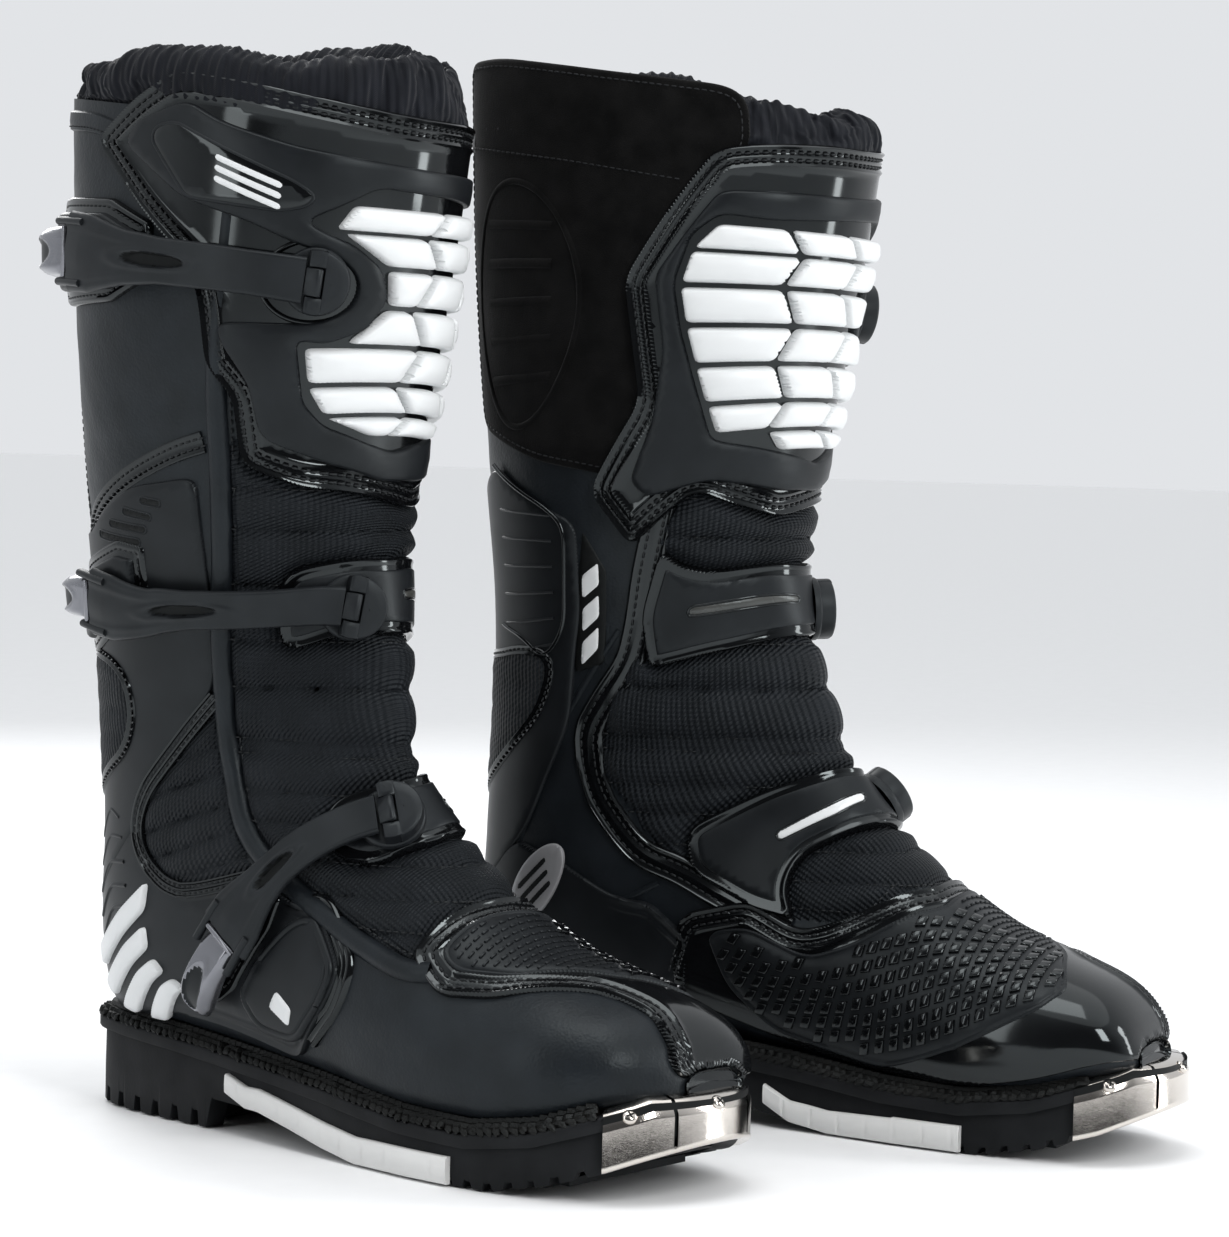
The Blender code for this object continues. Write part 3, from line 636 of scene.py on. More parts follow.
def window_level(points):
    """Level of points above the sloping rows of the ankle window."""
    return points[..., 2] - WINDOW_SLOPE * points[..., 1]


def upper_relief(points, uv, bellows, window):
    """Heights of the leather and of its quilted parts."""
    near = np.clip(dist(points, bellows.points) / 7, 0, 1)
    near *= np.clip((dist(points, at(Line(PIPING, False, radius=30).uv), False) - 4.5) / 4, 0, 1)
    for cover in (SHIN, PLATES["mid"], PLATES["low"], TOE):
        cover = Line(cover)
        near *= np.where(inside(uv, cover.uv), 0, np.clip((dist(points, cover.points) - 1) / 5, 0, 1))
    quilt = puffed(points[:, 2], SEAMS, 5.2) * near ** 0.6 + 0.25 * ripple(points, 26, 3) * near
    in_bellows, in_window = inside(uv, bellows.uv), inside(uv, window.uv)
    height = np.where(in_bellows, np.minimum(0.0, -0.4 + near) + quilt, 0.4)
    near = np.clip(dist(points, window.points) / 5, 0, 1) ** 0.6
    height = np.where(in_window, 0.2 + puffed(window_level(points), WINDOW_SEAMS, 4.8) * near, height)
    creases = 0.30 * ripple(points, 60, 5) + 0.10 * ripple(points, 17, 8)
    return height + np.where(in_bellows | in_window, 0, creases)


def quilting(shape, area, levels, level_of, stations, angles, height, radius):
    """A row of stitches at each level, over a part of the leather."""
    for level in levels:
        run = []
        for a in angles:
            values = level_of(loft(stations, np.full(len(stations), a)))
            run.append((np.interp(level, values, stations), a))
        line = Line(run, closed=False, radius=3)
        keep = inside(line.uv, area.uv)
        if keep.sum() > 7:
            stitches(shape, Line(None, False, lanes=line.uv[keep]), height, pitch=3.4, radius=radius)


def make_upper():
    rows, cols = ((300, 216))
    us = np.interp(np.linspace(0, np.interp(TOP, STATIONS, RISE), rows), RISE, STATIONS)
    vs = np.linspace(-2, 2, cols, endpoint=False)
    uv = np.stack(np.meshgrid(us, vs, indexing="ij"), -1).reshape(-1, 2)
    points, normal, _, _ = basis(uv)
    bellows, window = Line(BELLOWS), Line(WINDOW)
    points = points + normal * upper_relief(points, uv, bellows, window)[:, None]
    faces = np.array(grid_faces(rows, cols, True))
    middle = uv[faces[:, 0]]
    cloth = inside(middle, bellows.uv) | inside(middle, window.uv)
    leather, textile = Shape(), Shape()
    for shape, chosen, look in ((leather, ~cloth, "leather"), (textile, cloth, "textile")):
        used, index = np.unique(faces[chosen], return_inverse=True)
        shape.add(points[used], index.reshape(-1, 4), look, chart(uv)[used])
    leather.add(loft(np.zeros(24), np.linspace(-180, 165, 24)), [tuple(range(24))], "leather")

    quilting(textile, bellows, SEAMS[2:], lambda spots: spots[:, 2], np.linspace(4.5, 14.5, 400),
             np.linspace(-86, 72, 80), 0.9, 0.4)
    quilting(textile, window, WINDOW_SEAMS[1:-1], window_level, np.linspace(7.6, 11.2, 200),
             np.linspace(60, 108, 40), 0.8, 0.35)
    for obj in place(textile, "bellows_look"):
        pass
    sew_upper(leather)
    place(leather, "upper_look", ["foot_upper", "leg_shaft"])


def sew_upper(shape):
    """Piping, borders, seams and the lining of the leather."""
    # Rolled piping on the lateral side of the bellows, with a row of stitches in front of it
    piping = Line(PIPING, closed=False, radius=30)
    band(shape, piping, bead(9.2, 3.3, 0.3), "leather")
    front = piping.offset(6.2 if piping.sides()[0][1] > 0 else -6.2)
    stitches(shape, front, 0.9, pitch=3.4)
    # Arched border between the calf panel and the flex panel
    arch = Line([(13.2, 150), (13.55, 132), (13.8, 104), (13.95, 84), (13.98, 73)], False, radius=30)
    band(shape, arch, [(-4.6, -0.3), (-4.2, 1.1), (-3.4, 1.3), (-2.8, 0.9), (0, 0.9), (2.8, 0.9),
                       (3.4, 1.3), (4.2, 1.1), (4.6, -0.3)], "gloss")
    for d in (-1.6, 1.6):
        stitches(shape, arch.offset(d), 1.3)
    # Binding at the top of the calf
    hem = Line([(17.35, 98), (17.5, 112), (17.5, 130), (17.5, 180), (17.5, 212)], False, radius=30)
    band(shape, hem, [(-4.2, 0.3), (-3.4, 1.6), (0, 1.9), (3.4, 1.6), (4.2, 0.3), (4.4, -1.5)],
         "leather")
    stitches(shape, hem.offset(2.2), 1.9, "thread_grey", pitch=3.0, length=2.0, radius=0.3)
    # Seam between the calf's back and its lateral side
    back = Line([(17.3, 160), (15.5, 156), (14.1, 146), (13.5, 138)], closed=False)
    band(shape, back, bead(2.4, 0.7, 0.3), "leather")
    stitches(shape, back.offset(2.4), 0.8)
    # Collar lining, down inside the leg
    rows, cols = 24, 96
    uv = np.stack(np.meshgrid(np.linspace(17.7, 11.5, rows),
                              np.linspace(-2, 2, cols, endpoint=False), indexing="ij"), -1)
    points, normal, _, _ = basis(uv)
    shape.add(points - normal * 3.4, grid_faces(rows, cols, True, flip=True), "lining")


# ------------------------------------------------------------------ covers

FRAME = [(17.88, 80), (17.66, 69), (17.45, 47), (17.35, 22), (17.3, 0), (17.25, -40),
         (17.19, -58), (16.09, -75), (15.17, -71), (14.37, -73), (13.7, -80), (13.45, -74),
         (13.5, -52), (13.1, -18), (13.05, 3), (13.39, 25), (13.8, 47), (13.97, 52), (14.56, 56),
         (14.83, 61), (15.09, 66), (15.31, 67), (15.27, 44), (15.28, 35), (15.42, 26),
         (15.65, 22.5), (15.9, 24), (16.12, 32), (16.2, 42), (16.48, 60), (16.71, 80),
         (17.28, 97), (17.56, 94)]
RECESS = [(16.52, 42), (16.74, 31), (17.0, 20), (16.95, -7), (16.85, -40), (16.88, -57),
          (16.6, -65), (16.01, -69), (15.46, -66), (14.8, -60), (14.06, -52), (13.75, -20),
          (13.56, 0), (13.71, 12), (13.98, 29), (14.3, 37), (15.06, 41), (15.0, 31), (15.2, 17),
          (15.6, 11), (15.99, 15), (16.27, 26), (16.4, 36)]
LOGO_BED = [(17.6, 82), (17.0, 47), (16.84, 40), (16.7, 42), (16.62, 50), (16.72, 78), (17.36, 89),
            (17.52, 88)]
# Shin pads: (top, bottom) stations of each row, and the angles where a row is cut
PAD_ROWS = ((16.75, 16.44), (16.40, 16.02), (15.96, 15.52), (15.46, 15.02), (14.96, 14.54),
            (14.48, 14.14), (14.08, 13.80))
PAD_CUTS = (-31, -4)
WIDE_STITCH = {"pitch": 3.6, "length": 2.8, "radius": 0.5}
# Profile of the sewn flange over a piece's edge: (distance in mm, rise, width of the hump)
FLANGE = ((1.3, 0.9, 0.7), (3.6, -0.55, 0.9), (5.2, 0.35, 0.45), (6.8, -0.55, 0.9), (9.0, 0.9, 0.8))
FLANGE_SEAMS = (3.6, 6.8)


def flange(d):
    """Height of a sewn flange at a distance from its edge: bead, two troughs, two ridges."""
    return sum(rise * hump(d, middle, width) for middle, rise, width in FLANGE)


def make_shin_plate():
    shape = Shape()
    outer = Line(SHIN)
    pitch = 2.8
    patch(shape, [outer], -0.2, 3.1, "gloss", edge=0.9, pitch=pitch,
          rings=np.arange(0.6, 10.6, 0.65), relief=lambda p, uv, d: flange(d))
    for d in FLANGE_SEAMS:
        stitches(shape, outer.offset(d), 3.0, **WIDE_STITCH)
    recess = Line(RECESS, radius=4)
    patch(shape, [Line(FRAME, radius=4.5), recess], 2.9, 5.6, "matte", edge=1.3, pitch=pitch,
          relief=lambda p, uv, d: 0.5 * np.clip((d - 2) / 6, 0, 1))
    bed = Line(LOGO_BED, radius=3)
    patch(shape, [bed], 5.5, 6.3, "gloss", edge=0.8, pitch=3.0)
    band(shape, bed, bead(1.6, 0.9, 5.7), "matte")
    for k in range(3):
        u = 17.22 - 0.13 * k
        chip(shape, [(u + 0.04, 70), (u - 0.26, 50), (u - 0.34, 50), (u - 0.04, 70)], 6.2, 6.8)
    # Raised ring round the hub, on the gloss floor of the recess
    band(shape, oval_line(15.79, 37, 0.52, 17.5, 24), bead(2.2, 1.2, 3.3), "gloss")
    place(shape, "shin_plate_look", ["shin_plate"])
    make_shin_pads(recess.offset(2.4))


def make_shin_pads(bed):
    """Rows of white pads that fill the bed, each row cut by two slanting gaps."""
    shape = Shape()
    gap = 0.9
    edge_angles = angle_of(bed.uv[:, 0], bed.uv[:, 1])
    ahead = np.roll(bed.uv[:, 0], -1)
    for row, (top, bottom) in enumerate(PAD_ROWS):
        ends = [edge_angles[(bed.uv[:, 0] > u) != (ahead > u)] for u in (top, bottom)]
        lean = 3.0 if row % 2 else -3.0
        cuts = [(a + lean + 0.7 * row, a - lean + 0.7 * row) for a in PAD_CUTS]
        marks = [[e.min() for e in ends], *cuts, [e.max() for e in ends]]
        for k in range(3):
            (t0, b0), (t1, b1) = marks[k], marks[k + 1]
            t0, b0 = (t0 + gap, b0 + gap) if k else (t0, b0)
            t1, b1 = (t1 - gap, b1 - gap) if k < 2 else (t1, b1)
            if min(t1 - t0, b1 - b0) < 2:
                continue
            outline = [(top, t0), (top, t1), (bottom, b1), (bottom, b0)]
            patch(shape, [Line(outline, radius=2.2, step=1.2)], 3.0, 8.2, "white", edge=1.9,
                  pitch=3.0, relief=lambda p, uv, d: 0.9 * np.clip((d - 1.9) / 4, 0, 1))
    place(shape, "shin_pads_look", ["shin_pads"])


def blocks(shape, line, look, across, up, size, rise, margin, skew, where):
    """Rows of raised parallelogram blocks inside a line, on those places where they are wanted."""
    uv = staggered(line.uv, across, up)
    uv = uv[inside(uv, line.uv)]
    uv = uv[dist(at(uv), line.points) > margin]
    points, normal, _, pv = basis(uv[where(uv)])
    w, h = size
    verts = []
    for z, k in ((-0.4, 1.0), (rise * 0.8, 0.94), (rise, 0.8)):
        verts += [((sx * w + sy * skew * h) / 2 * k, sy * h / 2 * k, z)
                  for sx, sy in ((-1, -1), (1, -1), (1, 1), (-1, 1))]
    stamps(shape, points + normal * 3.2, unit(pv), normal, verts,
           grid_faces(3, 4, True) + [(8, 9, 10, 11)], look)


def make_toe():
    shape = Shape()
    nose = np.column_stack([np.zeros(48), np.linspace(-2, 2, 48, endpoint=False)])
    points, normal, _, _ = basis(nose)
    rows = [points + normal * h + (0, ahead, 0) for h, ahead in (
        (2.3, -0.6), (1.9, 0.5), (0.6, 1.2), (-1.8, 1.7))]
    rows.append(np.tile(rows[-1].mean(axis=0) + (0, 0.3, 0), (48, 1)))
    shape.add(rows, grid_faces(5, 48, True, flip=True), "gloss")
    # The flange follows the toe cover's upper edge only
    seam = Line([(0.5, 60), (0.8, 46)] + TOE[-5:] + TOE[:9] + [(7.7, -104)], closed=False)
    patch(shape, [Line(TOE)], -0.2, 2.4, "gloss", edge=0.9, pitch=2.8,
          rings=np.arange(0.6, 10.6, 0.7),
          relief=lambda p, uv, d: 0.8 * flange(dist(p, seam.points, False))
          * np.clip((p[:, 2] - 44) / 8, 0, 1))
    way = 1 if np.dot(seam.sides()[20], at(np.array([4.0, 0.0])) - seam.points[20]) > 0 else -1
    for d in FLANGE_SEAMS:
        stitches(shape, seam.offset(d * way), 2.3, **WIDE_STITCH)
    grip = Line([(7.5, -88), (7.1, -80), (6.2, -79), (5.7, -66), (4.72, -24), (4.72, 0),
                 (4.85, 31), (4.86, 46), (4.5, 48), (3.8, 33), (2.99, 0), (2.51, -42),
                 (2.85, -63), (4.0, -90), (5.0, -116), (6.2, -116), (6.9, -100)])
    patch(shape, [grip], 2.2, 3.3, "matte", edge=0.8, pitch=3.2, rings=(1.2, 2.0, 2.8),
          relief=lambda p, uv, d: -0.5 * hump(d, 2.0, 0.5))
    blocks(shape, grip, "gloss", 8.6, 6.4, (5.4, 4.0), 1.3, 4.0, 0.35, lambda uv: uv[:, 1] < -0.12)
    blocks(shape, grip, "matte", 5.4, 3.6, (3.6, 1.0), 0.8, 3.4, 0.0, lambda uv: uv[:, 1] >= -0.12)
    place(shape, "toe_look", ["toe_cover", "foot_panel_medial"])


def make_rear_guard():
    """Flexible panel over the Achilles tendon."""
    shape = Shape()
    outer = Line([(11.0, 76), (12.6, 75), (13.6, 76), (13.72, 100), (13.45, 132), (13.75, 180),
                  (14.2, 222), (13.65, 252), (13.4, 263), (12.4, 264), (11.9, 262), (11.2, 262),
                  (10.5, 245), (10.3, 180), (10.4, 108), (10.75, 86)])
    patch(shape, [outer], -0.2, 2.4, "matte", edge=1.1, pitch=3.0)
    # Four vent slots, each a flat near-black chip in a matte rim: the black is painted shade of the
    # opening
    for (u0, a0), (u1, a1) in (((13.53, 95), (13.42, 89)), ((13.49, 103), (13.31, 92)),
                               ((13.43, 111), (13.2, 94)), ((13.38, 119), (13.1, 97))):
        slot = chip(shape, [(u0 + 0.03, a0), (u1 + 0.03, a1), (u1 - 0.03, a1), (u0 - 0.03, a0)],
                    2.3, 2.62, "dark", edge=0.3, radius=1)
        band(shape, slot, bead(0.8, 0.3, 2.5, -0.5), "matte")
    tendon = Line([(12.45, 140), (12.2, 121), (11.9, 112), (11.5, 110), (11.3, 116), (11.35, 132),
                   (11.35, 180), (11.5, 230), (11.6, 247), (11.9, 252), (12.15, 250),
                   (12.35, 236), (12.5, 205), (12.5, 180)])
    patch(shape, [tendon], 2.2, 3.0, "textile", relief=lambda p, uv, d:
          puffed(p[:, 2], range(100, 230, 11), 1.2) * np.clip(d / 4, 0, 1))
    band(shape, tendon, [(-3.2, 2.2), (-2.8, 3.1), (-2.0, 2.7), (-0.6, 2.7), (0.2, 3.4),
                         (0.8, 3.4), (1.2, 2.2)], "gloss")
    stitches(shape, tendon.offset(-1.3), 3.0, pitch=3.0, length=2.2, radius=0.38)
    # Grooves on the medial rear, each a line with a lip, and the border round them
    for k in range(6):
        u = 13.75 - 0.27 * k
        groove = Line([(u, 226), (u - 0.12, 243), (u - 0.22, 254)], closed=False, radius=3)
        band(shape, groove, [(-1.6, 2.2), (-1.0, 3.1), (-0.5, 2.9), (0, 2.0), (0.6, 2.2)], "matte")
    border = Line([(14.2, 222), (13.65, 252), (13.4, 259), (12.3, 258), (12.1, 250), (12.5, 236),
                   (12.7, 222)], closed=False)
    band(shape, border, bead(2.0, 0.9, 2.3), "gloss")
    place(shape, "rear_guard_look", ["rear_guard"])


def make_heel_counter():
    """Heel counter with the ankle shield, the heel's white ribs and the medial badge."""
    shape = Shape()
    outer = Line([(6.1, 80), (6.2, 74), (6.9, 64), (7.3, 68), (7.9, 69), (8.6, 79), (9.35, 93),
                  (9.9, 102), (10.4, 107), (10.55, 120), (10.55, 180), (10.5, 240), (9.9, 258),
                  (9.3, 266), (8.4, 272), (7.6, 268), (7.2, 240), (9.1, 207), (9.5, 180),
                  (9.1, 153), (7.6, 130), (6.3, 126)])
    patch(shape, [outer], -0.2, 2.2, "matte", pitch=3.0,
          rings=np.arange(1.2, 8.4, 0.8),
          relief=lambda p, uv, d: 0.7 * flange(d) * np.clip((p[:, 1] - 60) / 20, 0, 1))
    for (u0, a0), (u1, a1) in (((11.0, 132), (10.75, 121)), ((10.75, 132), (10.52, 118)),
                               ((10.5, 131), (10.25, 116)), ((10.25, 129), (9.98, 115)),
                               ((10.0, 128), (9.72, 114))):
        run = Line([(u0 - 0.12, a0 + 14), (u0, a0), ((u0 + u1) / 2 + 0.02, (a0 + a1) / 2),
                    (u1, a1)], closed=False)
        band(shape, run, [(-1.8, 1.9), (-1.2, 2.7), (-0.5, 2.8), (0.3, 2.2), (0.8, 1.9)], "matte")
    front = Line([(7.5, 69), (7.2, 68), (6.97, 62.5), (6.55, 66.5), (6.1, 72.5), (6.05, 86),
                  (6.25, 104)], closed=False)
    band(shape, front, [(-5.6, -0.3), (-5.2, 1.6), (-4.4, 2.2), (-3.6, 1.6), (-2.8, 1.5),
                        (-2.0, 2.3), (-1.2, 1.5), (-0.4, 1.5), (0.4, 2.4), (1.2, 1.6),
                        (2.4, 1.6), (3.4, 2.6), (4.4, 2.0), (5.0, -0.3)], "gloss")
    shield = Line([(7.35, 104), (7.37, 90), (7.23, 73), (6.97, 67), (6.59, 71), (6.2, 77),
                   (6.2, 90), (6.35, 112), (6.9, 118)])
    patch(shape, [shield], 2.0, 3.6, "matte", edge=1.4, pitch=2.8, rings=(2.2, 3.0, 3.8, 4.6),
          relief=lambda p, uv, d: -0.6 * hump(d, 3.0, 0.5))
    window = Line([(10.74, 74)] + WINDOW[1:7] + [(8.1, 67)], closed=False)
    band(shape, window, [(-6.4, 0.8), (-6.0, 3.0), (-5.2, 3.0), (-4.8, 2.3), (-3.2, 2.3),
                         (-2.8, 2.9), (-2.1, 2.9), (-1.7, 2.2), (-0.6, 2.2), (-0.2, 2.8),
                         (0.5, 2.6), (0.9, 0.4)], "gloss")
    for d, height in ((-3.9, 2.5), (-1.2, 2.4)):
        stitches(shape, window.offset(d), height, pitch=3.2, radius=0.4)
    for k in range(4):
        u = 9.80 - 0.45 * k
        rib = [(u, 143), (u - 0.04, 118), (u - 0.16, 101 + 4 * k), (u - 0.44, 104 + 4 * k),
               (u - 0.34, 119), (u - 0.29, 143)]
        patch(shape, [Line(rib, radius=3, step=1.2)], 2.0, 4.6, "white", edge=1.2)
    chip(shape, [(6.86, 100), (6.86, 93), (6.55, 95), (6.5, 103)], 3.5, 4.3, edge=0.5, radius=2)
    patch(shape, [oval_line(9.84, 248, 0.34, 13.5, 20)], 2.0, 3.6, "grey", edge=0.9)
    for k in (-1, 0, 1):
        u = 9.84 + 0.14 * k
        chip(shape, [(u + 0.035, 241), (u + 0.035, 255), (u - 0.035, 255), (u - 0.035, 241)],
             3.4, 3.9, "dark", edge=0.3, radius=1)
    place(shape, "heel_counter_look", ["heel_counter"])


def make_burn_guard():
    """Suede panel on the inner calf."""
    shape = Shape()
    suede = Line([(13.95, -94), (14.15, -112), (14.4, -132), (14.6, -152), (16.5, -158),
                  (18.36, -152), (18.44, -125), (18.46, -90), (18.50, -58), (18.34, -52),
                  (17.8, -50), (16.0, -78), (14.5, -72), (13.8, -86)])
    patch(shape, [suede], -0.5, 1.5, "suede", edge=1.6, pitch=3.4,
          relief=lambda p, uv, d: 0.35 * ripple(p, 45, 12) * np.clip(d / 8, 0, 1))
    middle = Line([(17.46, -152), (17.42, -120), (17.38, -98), (17.28, -71)], closed=False)
    for line, height in ((suede.offset(3.2), 1.6), (middle, 1.7)):
        stitches(shape, line, height, "thread_grey", pitch=3.2, radius=0.35)
    band(shape, oval_line(15.8, -119, 1.3, 24, 28), bead(3.0, 0.8, 1.3), "suede")
    for k in range(5):
        u = 16.62 - 0.41 * k
        rib = Line([(u, -104), (u, -119), (u, -134)], closed=False, radius=3)
        band(shape, rib, bead(4.4, 0.9, 1.2), "suede")
    place(shape, "burn_guard_look", ["burn_guard"])


# The bar let into each front plate
BARS = {
    "mid": ("slate", [(11.58, -57), (11.48, -58), (10.95, -30), (10.66, -8), (10.76, -7),
                      (11.1, -30)]),
    "low": ("white", [(7.62, -50), (7.5, -51), (7.12, -30), (6.98, -12), (7.12, -11),
                      (7.3, -30)]),
}


def make_front_plates():
    for name, outline in PLATES.items():
        shape = Shape()
        line = Line(outline)
        patch(shape, [line], 0.2, 3.4, "gloss", edge=1.2, pitch=2.8, rings=(2.0, 2.8, 3.6, 4.4),
              relief=lambda p, uv, d: 0.5 * hump(d, 1.6, 0.8))
        patch(shape, [line.offset(5.0)], 3.2, 4.1, "matte", edge=0.7, pitch=3.0)
        look, spots = BARS[name]
        bar = Line(spots, radius=2, step=1.2)
        patch(shape, [bar], 3.9, 4.4, look, edge=0.5, pitch=2.4)
        band(shape, bar, bead(1.2, 0.5, 4.0, -0.5), "gloss")
        add_hub(shape, name)
        place(shape, "anchor_plate_" + name + "_look", ["anchor_plate_" + name])
    shape = Shape()
    add_hub(shape, "top")
    place(shape, "anchor_disc_look", ["anchor_disc_top"])


def make_medial_border():
    """Sewn border down the medial side of the bellows, with what is on the quarter beside it."""
    shape = Shape()
    run = Line([(13.3, -70), (12.4, -75), (11.7, -77), (11.35, -79), (11.15, -87), (10.95, -92),
                (10.44, -90), (9.56, -83), (8.49, -76), (7.31, -75), (6.6, -75)], closed=False)
    half = [(0.5, 1.9), (2.0, 1.5), (4.2, 1.6), (5.0, 2.4), (6.2, 1.5), (6.6, -0.4)]
    band(shape, run, [(-d, z) for d, z in half[::-1]] + half, "gloss")
    for d in (-2.6, 2.6):
        stitches(shape, run.offset(d), 1.9, pitch=3.6, length=2.8, radius=0.45)
    # Fold lines of the leather
    for spots in ([(11.9, -84), (11.2, -104), (10.4, -122)], [(9.2, -112), (8.9, -96), (8.5, -82)]):
        band(shape, Line(spots, closed=False), bead(3.0, 0.9, 0.3), "leather")
    strip = Line([(13.3, -95), (12.72, -88.5), (11.6, -88.5), (11.75, -98), (12.5, -98)], radius=2)
    patch(shape, [strip], 0.3, 1.4, "dark", edge=0.7)
    for k in range(3):
        u = 12.86 - 0.38 * k
        chip(shape, [(u, -90.3), (u - 0.27, -90.3), (u - 0.34, -95.5), (u - 0.07, -95.5)], 1.2, 1.9)
    for obj in place(shape, "medial_border_look"):
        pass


# ------------------------------------------------------------------ closures

# Spots of each closure's path at 0, 1, 2 and 3, then its width and its height over the leather
CLOSURES = {
    "top": (((15.79, 37), (15.97, 75), (16.12, 116), (16.12, 142)), 22, 9.4),
    "mid": (((10.69, 22), (11.87, 70), (12.76, 118), (12.96, 146)), 19, 9.0),
    "low": (((7.09, 25), (7.68, 56), (7.74, 88), (7.62, 116)), 20, 9.6),
}
# Half sizes of the pads under the buckles, in stations and degrees
BASES = {"top": (0.55, 30), "mid": (0.42, 27), "low": (0.32, 22)}
STRAP = 2.4      # thickness of a strap, and height of the hinge lines over its underside
HUB_CUT = 4.0    # distance from the hub's centre to where its ears and the strap meet
TAIL = 1.97      # end of a strap on its path
HINGE = 2.03     # start of a lever on that path


def on_path(spots, t):
    rows = np.array(spots, float)
    i = np.clip(t.astype(int), 0, 2)
    f = (t - i)[:, None]
    p, q, r, s = (rows[np.clip(i + k, 0, 3)] for k in (-1, 0, 1, 2))
    return (2 * q + (r - p) * f + (2 * p - 5 * q + 4 * r - s) * f ** 2
            + (3 * q - p - 3 * r + s) * f ** 3) / 2


def path_frame(spots, t):
    """Points, and outward, sideways and forward directions, along a closure's path."""
    here = on_path(spots, t)
    points, normal, _, _ = basis(np.column_stack([here[:, 0], lane_of(here[:, 0], here[:, 1])]))
    along = unit(np.gradient(points, axis=0))
    return points, normal, unit(np.cross(along, normal)), along


def spot_frame(spots, t, reach):
    """The same at one place, facing to where the path is after a short reach."""
    return [k[0] for k in path_frame(spots, np.linspace(t, t + reach, 4))]


def tapered(outline, sizes):
    """Rings of an outline (n x 2) at several sizes, about its middle."""
    flat = np.array(outline, float)
    middle = flat.mean(axis=0)
    return [middle + (flat - middle) * size for size in sizes]


def prism(shape, here, outline, low, high):
    """An upright block with a rounded top; the outline is (sideways, along) in mm."""
    point, normal, side, along = here
    rows = [point + ring[:, :1] * side + ring[:, 1:] * along + normal * z for ring, z in zip(
        tapered(outline, (1, 1, 0.97, 0.90, 0.5, 0.03)),
        (low, high - 1.1, high - 0.4, high - 0.1, high - 0.03, high))]
    shape.add(rows, grid_faces(6, len(outline), True), "strap")


def pin(shape, here, profile, half, look):
    """A bar across a closure: the profile is (along, outward) in mm."""
    point, normal, side, along = here
    rows = [point + ring[:, :1] * along + ring[:, 1:] * normal + side * x for ring, x in zip(
        tapered(profile, (0.8, 1, 1, 0.8)), (-half, -half + 0.4, half - 0.4, half))]
    n = len(profile)
    shape.add(rows, grid_faces(4, n, True) + [
        tuple(range(n))[::-1], tuple(range(3 * n, 4 * n))], look)


def add_hub(shape, name):
    """The round anchor of a strap; the half ahead of the strap is thicker and has two ears."""
    spots, _, height = CLOSURES[name]
    here = spot_frame(spots, 0, 0.1)
    point, normal, side, along = here
    top = height - 2.9
    rows = [[point + side * math.cos(f) * r + along * math.sin(f) * r + normal * z for f in turns(48)]
            for r, z in ((13.4, 2.8), (13.4, top - 1.2), (12.9, top - 0.3), (12.0, top),
                         (10.4, top - 0.3), (6.0, top + 0.2), (0.5, top + 0.3))]
    shape.add(rows, grid_faces(7, 48, True), "strap")
    rim = [(12.7 * math.cos(f), min(12.7 * math.sin(f), -2.4)) for f in turns(60)]
    prism(shape, here, rim, height - 3.2, height + STRAP + 0.6)
    ear = [(5.8, -3.2), (12.2, -3.2), (12.65, 0), (12.4, 2.6), (12.0, HUB_CUT), (5.8, HUB_CUT)]
    for s in (1, -1):
        prism(shape, here, [(s * x, y) for x, y in ear[::s]], height - 3.2, height + STRAP + 0.55)


def slab(shape, path, half, low, top, inset, looks, maps=None):
    """A closed strip along a path, flat below; inset is where it has the second look."""
    points, normal, side, _ = path
    rows, cols = top.shape
    across = half[:, None] * np.linspace(-1, 1, cols)
    base = points[:, None] + side[:, None] * across[..., None]
    under = base + normal[:, None] * np.full((rows, cols, 1), low)
    over = base + normal[:, None] * top[..., None]
    faces = grid_faces(rows, cols)
    face_looks = [looks[int(inset[f[0] // cols, f[0] % cols])] for f in faces]
    n = rows * cols
    rim = [(i * cols, (i + 1) * cols) for i in range(rows - 1)]
    rim += [((i + 2) * cols - 1, (i + 1) * cols - 1) for i in range(rows - 1)]
    rim += [(k + 1, k) for k in range(cols - 1)]
    rim += [(n - cols + k, n - cols + k + 1) for k in range(cols - 1)]
    rest = [tuple(i + n for i in f[::-1]) for f in faces] + [(a, b, b + n, a + n) for a, b in rim]
    shape.add([over, under], faces + rest, face_looks + [looks[0]] * len(rest), maps)


